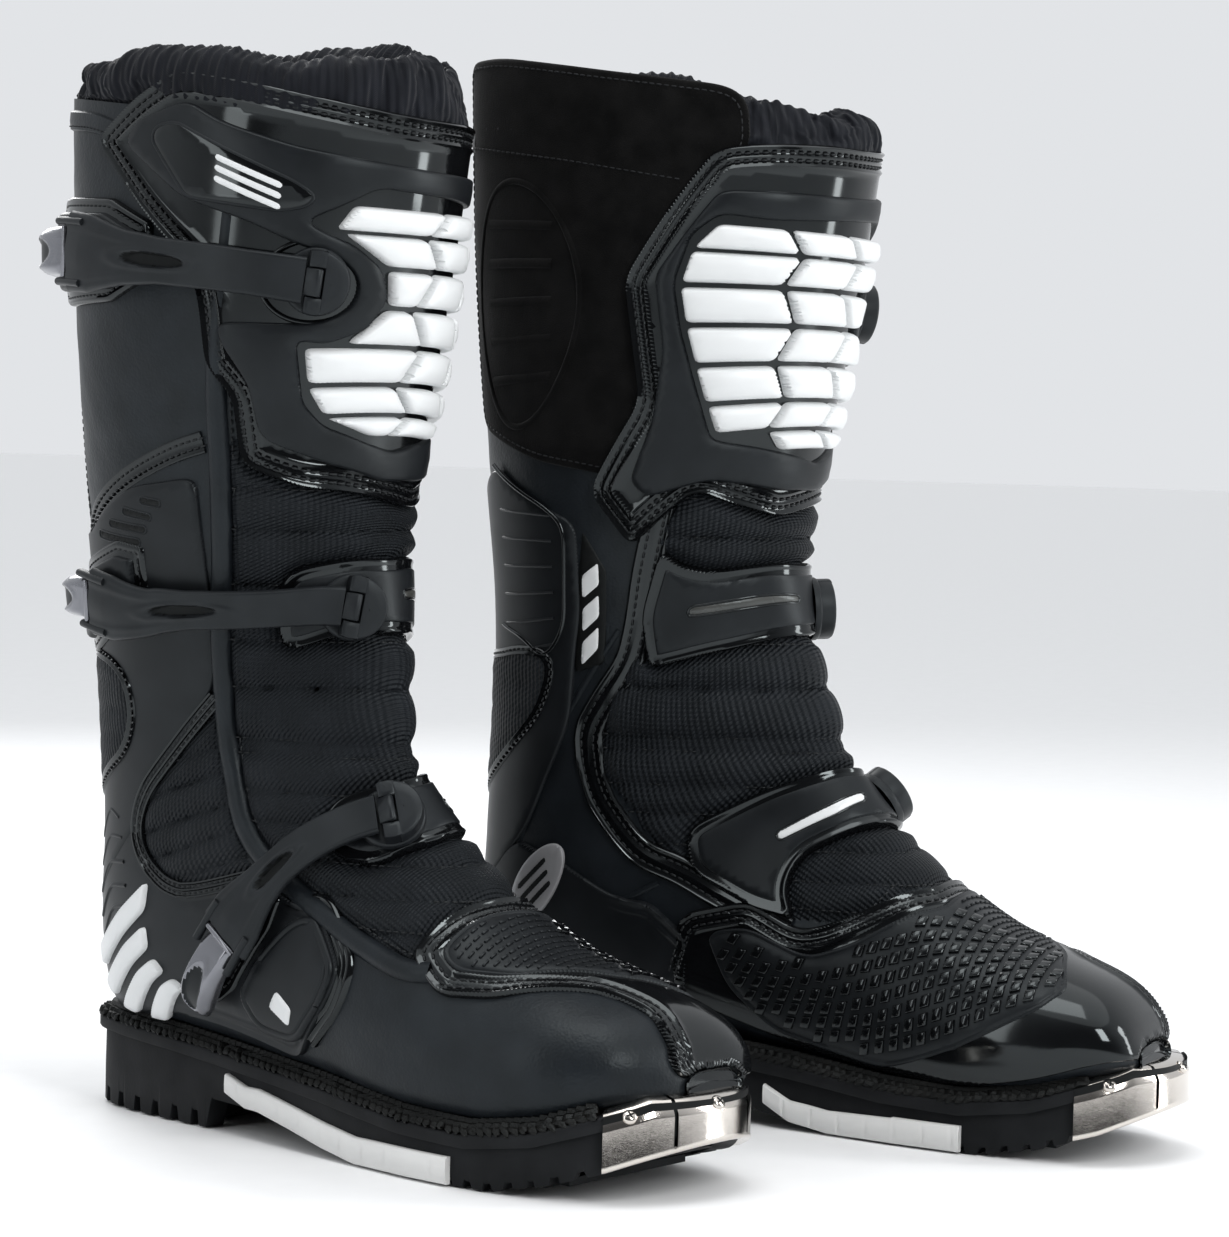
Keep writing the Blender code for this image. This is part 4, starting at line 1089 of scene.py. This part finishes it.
def make_strap(name, spots, width, height):
    shape = Shape()
    t = np.linspace(0, 0.3, 60)
    first = path_frame(spots, t)[0]
    start = np.interp(HUB_CUT + 0.35, np.linalg.norm(first - first[0], axis=1), t)
    t = np.linspace(start, TAIL, 130)
    w = np.linspace(-1, 1, 31)
    half = width / 2 * np.interp(t, (0, 0.15, 0.6, 1.2, 1.42, 1.72, TAIL), (
        0.84, 0.84, 0.80, 0.84, 1.0, 1.42, 1.48))
    run = t[:, None]
    # The oval hole is a recess whose floor gets the near-black look below: painted shade where the
    # strap is open
    oval = np.sqrt(((run - 1.22) / 0.23) ** 2 + (w / 0.30) ** 2)
    hole = np.clip((1.0 - oval) / 0.18, 0, 1)
    edge = np.sqrt(np.clip((1 - np.abs(w)) / 0.12, 0, 1))
    dome = STRAP * (0.35 + 0.65 * edge) - 1.9 * hole + 0.6 * hump(oval, 1.25, 0.25)
    dome = dome + hump(np.abs(w), 0.62, 0.1) * 0.5 * np.clip((run - 1.3) / 0.2, 0, 1)
    dome = dome + 1.2 * np.clip((run - 1.5) / 0.3, 0, 1) * hump(w, 0, 0.5)
    maps = np.stack(np.meshgrid(np.linspace(0, 120, len(t)), w * 10, indexing="ij"), -1)
    slab(shape, path_frame(spots, t), half, height, height + dome, hole > 0.6, ("strap", "dark"),
         [maps, maps])
    # Neck that turns between the ears of the anchor
    pivot = height + STRAP
    neck = [(4.7, height + 0.3), (4.7, pivot - 0.2)] + [
        (1.9 * math.cos(f), pivot + 1.9 * math.sin(f)) for f in np.radians(range(60, 271, 15))]
    pin(shape, spot_frame(spots, 0, 0.1), neck, 5.4, "strap")
    # Fork that holds the lever, one tine each side
    rows, n = 16, 12
    points, normal, side, _ = path_frame(spots, np.linspace(1.78, 2.16, rows))
    for s in (-1, 1):
        tine = np.stack([points + side * (s * width * 0.55 + 1.7 * math.cos(f))
                         + normal * (height + 1.9 + 2.0 * math.sin(f)) for f in turns(n)], 1)
        shape.add(tine, grid_faces(rows, n, True)
                  + [tuple(range(n)), tuple(range((rows - 1) * n, rows * n))], "strap")
    place(shape, "strap_" + name + "_look", ["strap_" + name], "strap_" + name)


def make_lever(name, spots, width, height):
    """A silver shell with a dark oval set in it, and its pin between the tines."""
    shape = Shape()
    t = np.linspace(HINGE, 3.0, 44)
    w = np.linspace(-1, 1, 25)
    s = (t - HINGE) / (3.0 - HINGE)
    half = width * 0.46 * np.interp(s, (0, 0.12, 0.45, 0.75, 1), (0.8, 0.98, 1.0, 0.86, 0.6))
    crown = 4.6 * np.sin(math.pi * np.clip(s * 0.9 + 0.08, 0, 1))[:, None]
    oval = np.sqrt(((s[:, None] - 0.56) / 0.34) ** 2 + (w / 0.56) ** 2)
    set_in = np.clip((1 - oval) / 0.12, 0, 1)
    edge = np.sqrt(np.clip((1 - np.abs(w)) / 0.35, 0, 1))
    ends = np.sqrt(np.clip(np.minimum(s, 1 - s) / 0.08, 0, 1))[:, None]
    dome = (STRAP * 0.6 + crown) * edge * (0.4 + 0.6 * ends)
    dome = dome - 0.9 * set_in + 0.3 * hump(oval, 1.12, 0.1)
    slab(shape, path_frame(spots, t), half, height - 1.2, height + dome, set_in > 0.5,
         ("silver", "matte"))
    rod = [(1.3 * math.cos(f), height + STRAP + 1.3 * math.sin(f)) for f in turns(16)]
    pin(shape, spot_frame(spots, 2.032, 0.068), rod, width * 0.55 - 1.9, "silver")
    place(shape, "lever_" + name + "_look", ["lever_" + name], "lever_" + name)


def make_buckle_base(name, spots, height):
    """Bevelled pad under a buckle."""
    shape = Shape()
    (u, a), = on_path(spots, np.array([2.12]))
    tall, wide = BASES[name]
    line = Line([(u + tall * x, a + wide * y) for x, y in (
        (0.55, -1), (1, -0.55), (1, 0.5), (0.6, 1), (-0.6, 1), (-1, 0.5), (-1, -0.55),
        (-0.55, -1))], radius=2)
    patch(shape, [line], 0.0 if name == "top" else 1.8, 3.6, "gloss", edge=1.4, pitch=3.0,
          rings=(2.2, 3.0, 3.8, 4.6), relief=lambda p, uv, d: -0.5 * hump(d, 3.4, 0.6))
    stitches(shape, line.offset(3.4), 3.3, pitch=3.2)
    inner = line.offset(6.0)
    if inner is not None:
        patch(shape, [inner], 3.4, height - 2.4, "matte", edge=1.6, pitch=3.0)
    place(shape, "buckle_base_" + name + "_look", ["buckle_base_" + name])


# ------------------------------------------------------------------ sole

# Plan of the sole, as rows of (Y, lateral X, medial X), and the level of its underside at Y
SOLE_PLAN = np.array((
    (-8, 9, -8), (-5, 18, -17), (4, 26, -25), (20, 32, -31), (45, 36.5, -34.5),
    (75, 39, -36), (100, 42, -36.5), (130, 46, -37), (165, 52, -40), (200, 57, -45),
    (230, 58.5, -47.5), (255, 56, -47.5), (272, 51, -45.5), (286, 43, -40), (296, 32, -31),
    (303, 18, -19), (306, 6, -9)))
GROUND = np.array(((-8, 2), (0, 0), (76, 0), (79, 12), (110, 11), (150, 3), (170, 0), (238, 0),
                   (262, 4), (286, 11), (296, 15.5), (306, 20)), float)
WELT = 5.5          # height of the midsole's side
INSET = -2.8        # of the outsole's side from the sole's outline
HEEL_LUGS = (-2, 74, 12.5)      # from, to and every
BALL_LUGS = (160, 282, 9.5)
UP = np.array((0.0, 0.0, 1.0))


def seat(y):
    """Level at which the upper meets the sole."""
    rows = np.vstack([[(-20, 37)], SECTIONS[:10][::-1, 2:4], [(320, 38)]])
    return np.interp(y, rows[:, 0], rows[:, 1])


def welt_top(y):
    return seat(y) - 0.5


def welt_low(y):
    return seat(y) - 0.5 - WELT


def ground(y):
    return np.interp(y, GROUND[:, 0], GROUND[:, 1])


def rim_line(count=420):
    """Smooth closed outline of the sole in plan, from the heel by the lateral side, and outward."""
    points = np.vstack([SOLE_PLAN[:, [1, 0]], SOLE_PLAN[::-1, [2, 0]]])
    for _ in range(3):
        ahead = np.roll(points, -1, axis=0)
        points = np.stack([points * 0.75 + ahead * 0.25, points * 0.25 + ahead * 0.75], 1)
        points = points.reshape(-1, 2)
    loop = np.vstack([points, points[:1]])
    run = np.concatenate([[0], np.cumsum(np.linalg.norm(np.diff(loop, axis=0), axis=1))])
    q = np.linspace(0, run[-1], count + 1)[:-1]
    line = np.column_stack([np.interp(q, run, loop[:, k]) for k in (0, 1)])
    tangent = np.roll(line, -1, axis=0) - np.roll(line, 1, axis=0)
    return line, unit(np.column_stack([tangent[:, 1], -tangent[:, 0]]))


def wall(shape, profile, look, count=420):
    """Side wall all round the sole: profile is (outward mm, a function that gives Z at Y)."""
    line, out = rim_line(count)
    rows = [np.column_stack([line + out * push, level(line[:, 1])]) for push, level in profile]
    shape.add(rows, grid_faces(len(profile), count, True), look)


def over(level, rise):
    """The level raised by some mm."""
    return lambda y: level(y) + rise


def make_welt():
    """Midsole, with a braided cord in three rows all round it behind the toe guard."""
    shape = Shape()
    wall(shape, [(-9, over(welt_top, 0.2)), (-1.2, over(welt_top, 0.2)), (-0.3, over(welt_top, -0.3)),
                 (0.0, over(welt_top, -1.2)), (0.0, over(welt_low, 1.0)), (-0.5, over(welt_low, 0.2)),
                 (-3.4, welt_low)], "rubber")
    count = 190
    line, out = rim_line(count)
    tangent = unit(np.roll(line, -1, axis=0) - np.roll(line, 1, axis=0))
    behind = line[:, 1] < 283
    for push, lift, slant, length, size, loose in (
            (-1.9, 1.0, 0.5, 7.2, 1.7, 0.16), (-4.4, 2.2, -0.55, 7.2, 1.9, 0.16),
            (-6.2, 4.0, 0, 5.6, 1.9, 0)):
        centre = np.column_stack([line + out * push, welt_top(line[:, 1]) + lift])
        x = np.column_stack([tangent + out * slant, np.zeros(count)])
        x = unit(x + np.random.default_rng(4).normal(size=x.shape) * loose)
        stamps(shape, centre[behind], x[behind], np.tile(UP, (count, 1))[behind],
               *capsule(length, size), "cord")
    place(shape, "welt_look", ["midsole"])


def lugs(y):
    """Depth of the notches between the tread's lugs at the sole's edge."""
    heel = np.clip(np.sin((y - 3) * 2 * math.pi / HEEL_LUGS[2]) * 4 - 1.4, 0, 1)
    ball = np.clip(np.sin(y * 2 * math.pi / BALL_LUGS[2]) * 4 - 1.4, 0, 1)
    return (heel * 6.0 * (y > HEEL_LUGS[0]) * (y < HEEL_LUGS[1])
            + ball * 2.6 * (y > BALL_LUGS[0]) * (y < BALL_LUGS[1]))


def make_outsole():
    """Side wall with the lugs cut in its lower edge, and bars of tread underneath."""
    shape = Shape()
    count = 1000
    notched = lambda y: ground(y) + lugs(y)
    wall(shape, [
        (INSET - 0.2, over(welt_low, 0.4)), (INSET, over(welt_low, -0.4)),
        (INSET + 0.1, lambda y: (welt_low(y) + ground(y)) / 2), (INSET, over(notched, 1.0)),
        (INSET - 0.6, over(notched, 0.1)), (INSET - 9, lambda y: ground(y) + lugs(y) * 0.9),
        (INSET - 9.6, over(ground, 2.2))], "rubber", count)
    line, out = rim_line(count)
    line = line + out * (INSET - 9.6)
    shape.add(np.column_stack([line, ground(line[:, 1]) + 2.2]),
              [(k, k + 1, count - 2 - k, count - 1 - k) for k in range(count // 2 - 1)], "rubber")
    for y in [*np.arange(8, 66, HEEL_LUGS[2]), *np.arange(166, 268, BALL_LUGS[2])]:
        deep = 0.6 * (HEEL_LUGS[2] if y < 100 else BALL_LUGS[2])
        lateral, medial = (np.interp(y, SOLE_PLAN[:, 0], SOLE_PLAN[:, k]) for k in (1, 2))
        shape.add([(x, y + dy, z) for x in (medial + 15, lateral - 15) for dy in (0, deep)
                   for z in (ground(y) + 0.05, ground(y) + 3)],
                  [(0, 1, 3, 2), (4, 6, 7, 5), (0, 4, 5, 1), (2, 3, 7, 6), (0, 2, 6, 4),
                   (1, 5, 7, 3)], "rubber")
    place(shape, "outsole_look", ["outsole"])


def make_inserts():
    """White strips let into the side of the sole."""
    count = 120
    profile = ((-3.0, 0), (-0.9, 0.0), (-0.1, 0.08), (0.1, 0.5), (-0.1, 0.92), (-0.9, 1.0),
               (-3.0, 1.0))
    for name, column, away, first, last in (("lateral", 1, 1, 90, 222), ("medial", 2, -1, 140, 231)):
        shape = Shape()
        ys = np.linspace(first, last, count)
        edge = np.interp(ys, SOLE_PLAN[:, 0], SOLE_PLAN[:, column])
        low = ground(ys) + 0.5 + 4 * (1 - np.clip((ys - first) / 12, 0, 1))
        high = np.minimum(welt_low(ys) + 0.2, low + np.interp(
            ys, (first, first + 20, first + 60, last - 40, last), (8.0, 9.0, 10.0, 10.5, 10.5)))
        tick = (np.abs((ys / 13) % 1 - 0.5) < 0.04) * 0.5
        rows = [np.column_stack([edge + away * (push - (tick if t == 0.5 else 0)), ys,
                                 low + (high - low) * t])
                for push, t in profile]
        end = tuple(k * count for k in range(len(rows)))
        shape.add(rows, grid_faces(len(rows), count, flip=away > 0)
                  + [end, tuple(k + count - 1 for k in end[::-1])], "white_rubber")
        place(shape, "sole_insert_" + name + "_look", ["sole_insert_" + name])


def make_guard():
    """Bent steel guard round the toe, slit at two places and held by three screws."""
    shape = Shape()
    count = 900
    line, out = rim_line(count)
    held = line[:, 1] > np.where(line[:, 0] > 0, 284.5, 277)
    first = int(np.argmax(held & ~np.roll(held, 1)))
    index = (first + np.arange(int(held.sum()))) % count
    xy, away = line[index], out[index]
    ys = xy[:, 1]
    top = welt_top(ys) + 0.9
    low = np.interp(ys, (277, 286, 306), (9.5, 12.0, 21.0))
    cols = len(index)
    slit = (np.abs(xy[:, 0] - 22.0) < 0.7) | (np.abs(xy[:, 0] + 19.0) < 0.7)
    level = lambda share: low + (top - low) * share
    # From the lip below, up the side, to the slope over the welt
    profile = ((-3.0, low), (0.8, low), (1.9, low + 0.5), (2.3, low + 1.4), (1.9, low + 2.6),
               (1.9, level(0.70)), (1.7, level(0.75)), (-0.9, level(0.96)), (-1.7, level(1.0)),
               (-7.5, level(1.04)))
    rows = [np.column_stack([xy + away * push, z]) for push, z in profile]
    inner = [row - np.column_stack([away * 0.9, np.zeros(cols)]) for row in rows]
    faces = [f for f in grid_faces(len(profile), cols)
             if not (slit[f[0] % cols] and f[0] // cols >= 4)]
    shape.add(rows, faces, "steel")
    shape.add(inner, [f[::-1] for f in faces], "steel")
    end = range(2 * len(profile))
    for k, face in ((0, end), (cols - 1, end[::-1])):
        shape.add([row[k] for row in rows + inner[::-1]], [tuple(face)], "steel")
    # A near-black sheet just behind the steel, seen through the slits: painted shade of the gap behind
    # the guard
    shape.add([np.column_stack([xy + away * 0.7, level(t)]) for t in (0.3, 0.97)],
              grid_faces(2, cols), "dark")
    for x, y in ((33, 288), (2, 299.5), (-31, 285)):
        k = int(np.argmin((xy[:, 0] - x) ** 2 + (xy[:, 1] - y) ** 2))
        spot = np.array([*(xy[k] + away[k] * 0.5), low[k] + (top[k] - low[k]) * 0.86])
        add_screw(shape, spot, unit(np.array([*(away[k] * 0.75), 0.66])))
    place(shape, "toe_guard_look", ["toe_guard"])


def add_screw(shape, spot, out):
    """Domed cross-head screw."""
    right = unit(np.cross(UP, out))
    up = np.cross(out, right)
    rows = [[spot + right * r * math.cos(f) + up * r * math.sin(f) + out * lift for f in turns(24)]
            for r, lift in ((2.9, -0.6), (2.9, 0.5), (2.5, 1.1), (1.5, 1.5), (0.05, 1.6))]
    shape.add(rows, grid_faces(5, 24, True), "steel")
    # The cross is a pair of near-black bars raised on the dome: painted shade standing for the recess
    # of a cross head
    for turn in (0.4, 0.4 + math.pi / 2):
        p = right * math.cos(turn) + up * math.sin(turn)
        q = up * math.cos(turn) - right * math.sin(turn)
        shape.add([spot + p * a + q * b + out * lift for lift in (1.0, 1.72)
                   for a, b in ((-1.6, -0.32), (1.6, -0.32), (1.6, 0.32), (-1.6, 0.32))],
                  [(4, 5, 6, 7), (0, 1, 5, 4), (1, 2, 6, 5), (2, 3, 7, 6), (3, 0, 4, 7)], "dark")


# ------------------------------------------------------------------ elastic collar

def settle(points, faces, held, frames, most):
    """Cloth held at some points, blown out a little and cut a little too big for its place.

    It is moved by at most that many mm, so that its pleats stay where they are.
    """
    mesh = bpy.data.meshes.new("cloth")
    mesh.from_pydata((points * MM).tolist(), [], faces)
    obj = bpy.data.objects.new("cloth", mesh)
    bpy.context.scene.collection.objects.link(obj)
    obj.vertex_groups.new(name="held").add(held, 1.0, "REPLACE")
    cloth = obj.modifiers.new("cloth", "CLOTH")
    for name, value in (("quality", 4), ("mass", 0.15), ("vertex_group_mass", "held"),
                        ("shrink_min", -0.05), ("use_pressure", True),
                        ("uniform_pressure_force", 3.0), ("tension_stiffness", 12),
                        ("compression_stiffness", 6), ("bending_stiffness", 0.25)):
        setattr(cloth.settings, name, value)
    cloth.settings.effector_weights.gravity = 0
    cloth.collision_settings.use_collision = False
    cloth.collision_settings.use_self_collision = False
    cloth.point_cache.frame_start, cloth.point_cache.frame_end = 1, frames
    for step in range(1, frames + 1):
        bpy.context.scene.frame_set(step)
    made = obj.evaluated_get(bpy.context.evaluated_depsgraph_get()).to_mesh()
    out = np.empty(len(points) * 3, np.float32)
    made.vertices.foreach_get("co", out)
    bpy.context.scene.frame_set(1)
    bpy.data.objects.remove(obj)
    push = out.reshape(-1, 3).astype(float) / MM - points
    size = np.linalg.norm(push, axis=1, keepdims=True)
    return points + push * np.minimum(1, most / np.maximum(size, 1e-9))


# Height of the collar's top by lane, and how far it is tucked into the leg, as a share
COLLAR_TOP = ((-2, -1.7, -1.2, -0.9, -0.68, -0.45, -0.15, 0.3, 0.9, 1.3, 1.7, 2.0),
              (430, 439, 442, 441, 436, 431, 428, 428, 430, 429, 426, 430))
COLLAR_TUCK = ((-2, -1.7, -0.7, -0.4, 1.2, 1.6, 2), (0.6, 1, 1, 0, 0, 1, 0.6))
COLLAR_STEPS = 44
TURN_OVER = 0.6     # share of the cloth that goes up before it turns over inwards


def loose_collar(cols):
    """The collar as cut: up from the leather's edge, over, and down inside."""
    v = np.linspace(-2, 2, cols, endpoint=False)
    base, normal, _, _ = basis(np.column_stack([np.full(cols, TOP), v]))
    outward = unit(normal * (1, 1, 0))
    top = np.interp(v, *COLLAR_TOP) + 1.5 * np.sin(v * 7.1 + 1) + 0.9 * np.sin(v * 17 + 2)
    hidden = np.interp(v, *COLLAR_TUCK)
    drawn = 0.5 + 0.5 * np.sin(v * 5.3 + 0.6)
    rows = []
    for t in np.linspace(0, 1, COLLAR_STEPS):
        up = min(t / TURN_OVER, 1.0)
        down = max(0.0, (t - TURN_OVER) / (1 - TURN_OVER))
        rise = math.sin(up * math.pi / 2)
        z = base[:, 2] + (top - base[:, 2]) * rise - 30 * down ** 1.5
        tuck = 1.2 + 6.5 * up ** 2.2 + 7.0 * math.sin(min(down * 2.2, 1) * math.pi / 2)
        puff = 3.6 * math.sin(math.pi * up ** 0.8) * (1 - down)
        fold = 1.4 * drawn * np.sin(v * 38 + 7 * t + 2 * np.sin(v * 4)) * rise * (1 - 0.5 * down)
        push = (-tuck + (puff + fold) * (1 - 0.6 * hidden)
                - 3.2 * hidden * math.sin(min(up * 2, 1) * math.pi / 2))
        rows.append(np.column_stack([(base + outward * push[:, None])[:, :2], z]))
    return np.vstack(rows)


def make_collar():
    """Gathered elastic cloth: a padded roll of fine pleats, highest on the medial side."""
    cols = 300
    held = [row * cols + k for row in (0, 1, COLLAR_STEPS - 2, COLLAR_STEPS - 1) for k in range(cols)]
    grid = settle(loose_collar(cols), grid_faces(COLLAR_STEPS, cols, True), held, 20, 3.0)
    # Twice as many columns carry the fine pleats
    grid = grid.reshape(COLLAR_STEPS, cols, 3)
    ahead, behind, past = (np.roll(grid, k, axis=1) for k in (-1, 1, -2))
    fine = np.empty((COLLAR_STEPS, cols * 2, 3))
    fine[:, ::2] = grid
    fine[:, 1::2] = (9 * (grid + ahead) - behind - past) / 16
    out = unit(np.cross(np.gradient(fine, axis=0), np.roll(fine, -1, 1) - np.roll(fine, 1, 1)))
    t, v = np.meshgrid(np.linspace(0, 1, COLLAR_STEPS), np.linspace(-2, 2, cols * 2, endpoint=False),
                       indexing="ij")
    slant = v * 150 + 14 * t + 2.6 * np.sin(v * 9)
    pleat = (0.5 * np.sin(slant) + 0.25 * np.sin(slant * 0.5 + 1)) * np.clip(0.3 + 1.5 * t, 0, 1)
    shape = Shape()
    shape.add(fine + out * pleat[..., None], grid_faces(COLLAR_STEPS, cols * 2, True), "collar",
              np.stack([v * LANE, t * 60], -1))
    for obj in place(shape, "collar_look", ["gaiter"]):
        if obj.name.startswith("left"):
            push_down(obj)


def push_down(obj):
    """Lowers the top of a collar over the calf by up to 9 mm."""
    for point in obj.data.vertices:
        t = min(max((point.co.z - 0.395) / 0.035, 0.0), 1.0)
        point.co.z -= 0.009 * t * t * (3 - 2 * t)


make_upper()
make_shin_plate()
make_toe()
make_rear_guard()
make_heel_counter()
make_burn_guard()
make_front_plates()
make_medial_border()
for closure, (route, strap_width, strap_height) in CLOSURES.items():
    make_strap(closure, route, strap_width, strap_height)
    make_lever(closure, route, strap_width, strap_height)
    make_buckle_base(closure, route, strap_height)
make_welt()
make_outsole()
make_inserts()
make_guard()
make_collar()

for name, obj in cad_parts.items():
    if name.endswith(("inner_liner", "footbed")):
        obj.data.materials.clear()
        obj.data.materials.append(LOOKS["lining"])

# ------------------------------------------------------------------ studio

scene = bpy.context.scene
bpy.ops.mesh.primitive_plane_add(size=80, location=(0, 0, -0.0005))
floor = bpy.context.object
floor.name = "floor"
floor.data.materials.append(look("floor_paint", (0.86, 0.865, 0.87), 0.7, tint=0.01, shine=0.1,
                                 bumps=(("noise", 12, 0.02, 0.5),)))

CAMERA = Vector((-1.2905, -0.82858, 0.2767))
YAW, PITCH, ROLL = (math.radians(k) for k in (-57.27, 2.55, 1.59))

# A pale room whose front is dark in the boots' reflections, and pale where it is seen past them
world = bpy.data.worlds.new("studio")
world.use_nodes = True
room = world.node_tree
place_in_room = node(room, "TexCoord", {}, "Generated")
facing = node(room, "VectorMath", {0: place_in_room, 1: Vector((CAMERA.x, CAMERA.y, 0.1)).normalized()},
              "Value", operation="DOT_PRODUCT")
fade = node(room, "MapRange", {"From Min": 0.12, "From Max": 0.88, "To Min": 0.80, "To Max": 0.08,
                               "Value": facing}, "Result", interpolation_type="SMOOTHSTEP")
seen = node(room, "LightPath", {}, "Is Camera Ray")
feed(room, room.nodes["Background"], {
    "Color": (0.95, 0.97, 1.0, 1),
    "Strength": node(room, "Mix", {"A": fade, "B": 0.80, "Factor": seen}, "Result")})
scene.world = world


def lamp(name, where, target, size, tall, power):
    """A rectangular lamp turned to a target."""
    data = bpy.data.lights.new(name, "AREA")
    data.shape = "RECTANGLE"
    data.size = size
    data.size_y = tall
    data.energy = power
    obj = bpy.data.objects.new(name, data)
    scene.collection.objects.link(obj)
    obj.location = where
    obj.rotation_euler = (Vector(target) - Vector(where)).to_track_quat("-Z", "Y").to_euler()


lamp("key", (-0.75, -1.55, 1.25), (0, 0, 0.22), 0.5, 0.9, 19)
lamp("left_strip", (-1.55, 0.5, 0.75), (0, 0.05, 0.22), 0.32, 1.3, 4.5)
lamp("right_strip", (0.8, -1.35, 0.6), (0, 0, 0.2), 0.25, 1.1, 9)
lamp("overhead", (-0.2, -0.1, 1.6), (0, 0, 0.2), 0.7, 0.7, 5)
lamp("back", (0.9, 1.3, 1.1), (0, 0, 0.25), 0.6, 0.8, 12)

# Soft even light over the whole floor
sky = bpy.data.lights.new("sky", "SUN")
sky.energy = 0.7
sky.angle = math.radians(70)
scene.collection.objects.link(bpy.data.objects.new("sky", sky))

camera = bpy.data.objects.new("camera", bpy.data.cameras.new("camera"))
scene.collection.objects.link(camera)
forward = Vector((-math.sin(YAW) * math.cos(PITCH), math.cos(YAW) * math.cos(PITCH),
                  -math.sin(PITCH)))
level = Vector((math.cos(YAW), math.sin(YAW), 0))
upward = level.cross(forward)
right = level * math.cos(ROLL) + upward * math.sin(ROLL)
upward = upward * math.cos(ROLL) - level * math.sin(ROLL)
turn = Matrix((right, upward, -forward)).transposed().to_4x4()
camera.matrix_world = Matrix.Translation(CAMERA) @ turn
camera.data.sensor_fit = "HORIZONTAL"
camera.data.lens = 110.24
camera.data.dof.use_dof = False
camera.data.clip_start = 0.05
scene.camera = camera
scene.view_settings.view_transform = "Standard"


def flat(bounds):
    return [[round(float(x), 5) for x in corner] for corner in bounds]
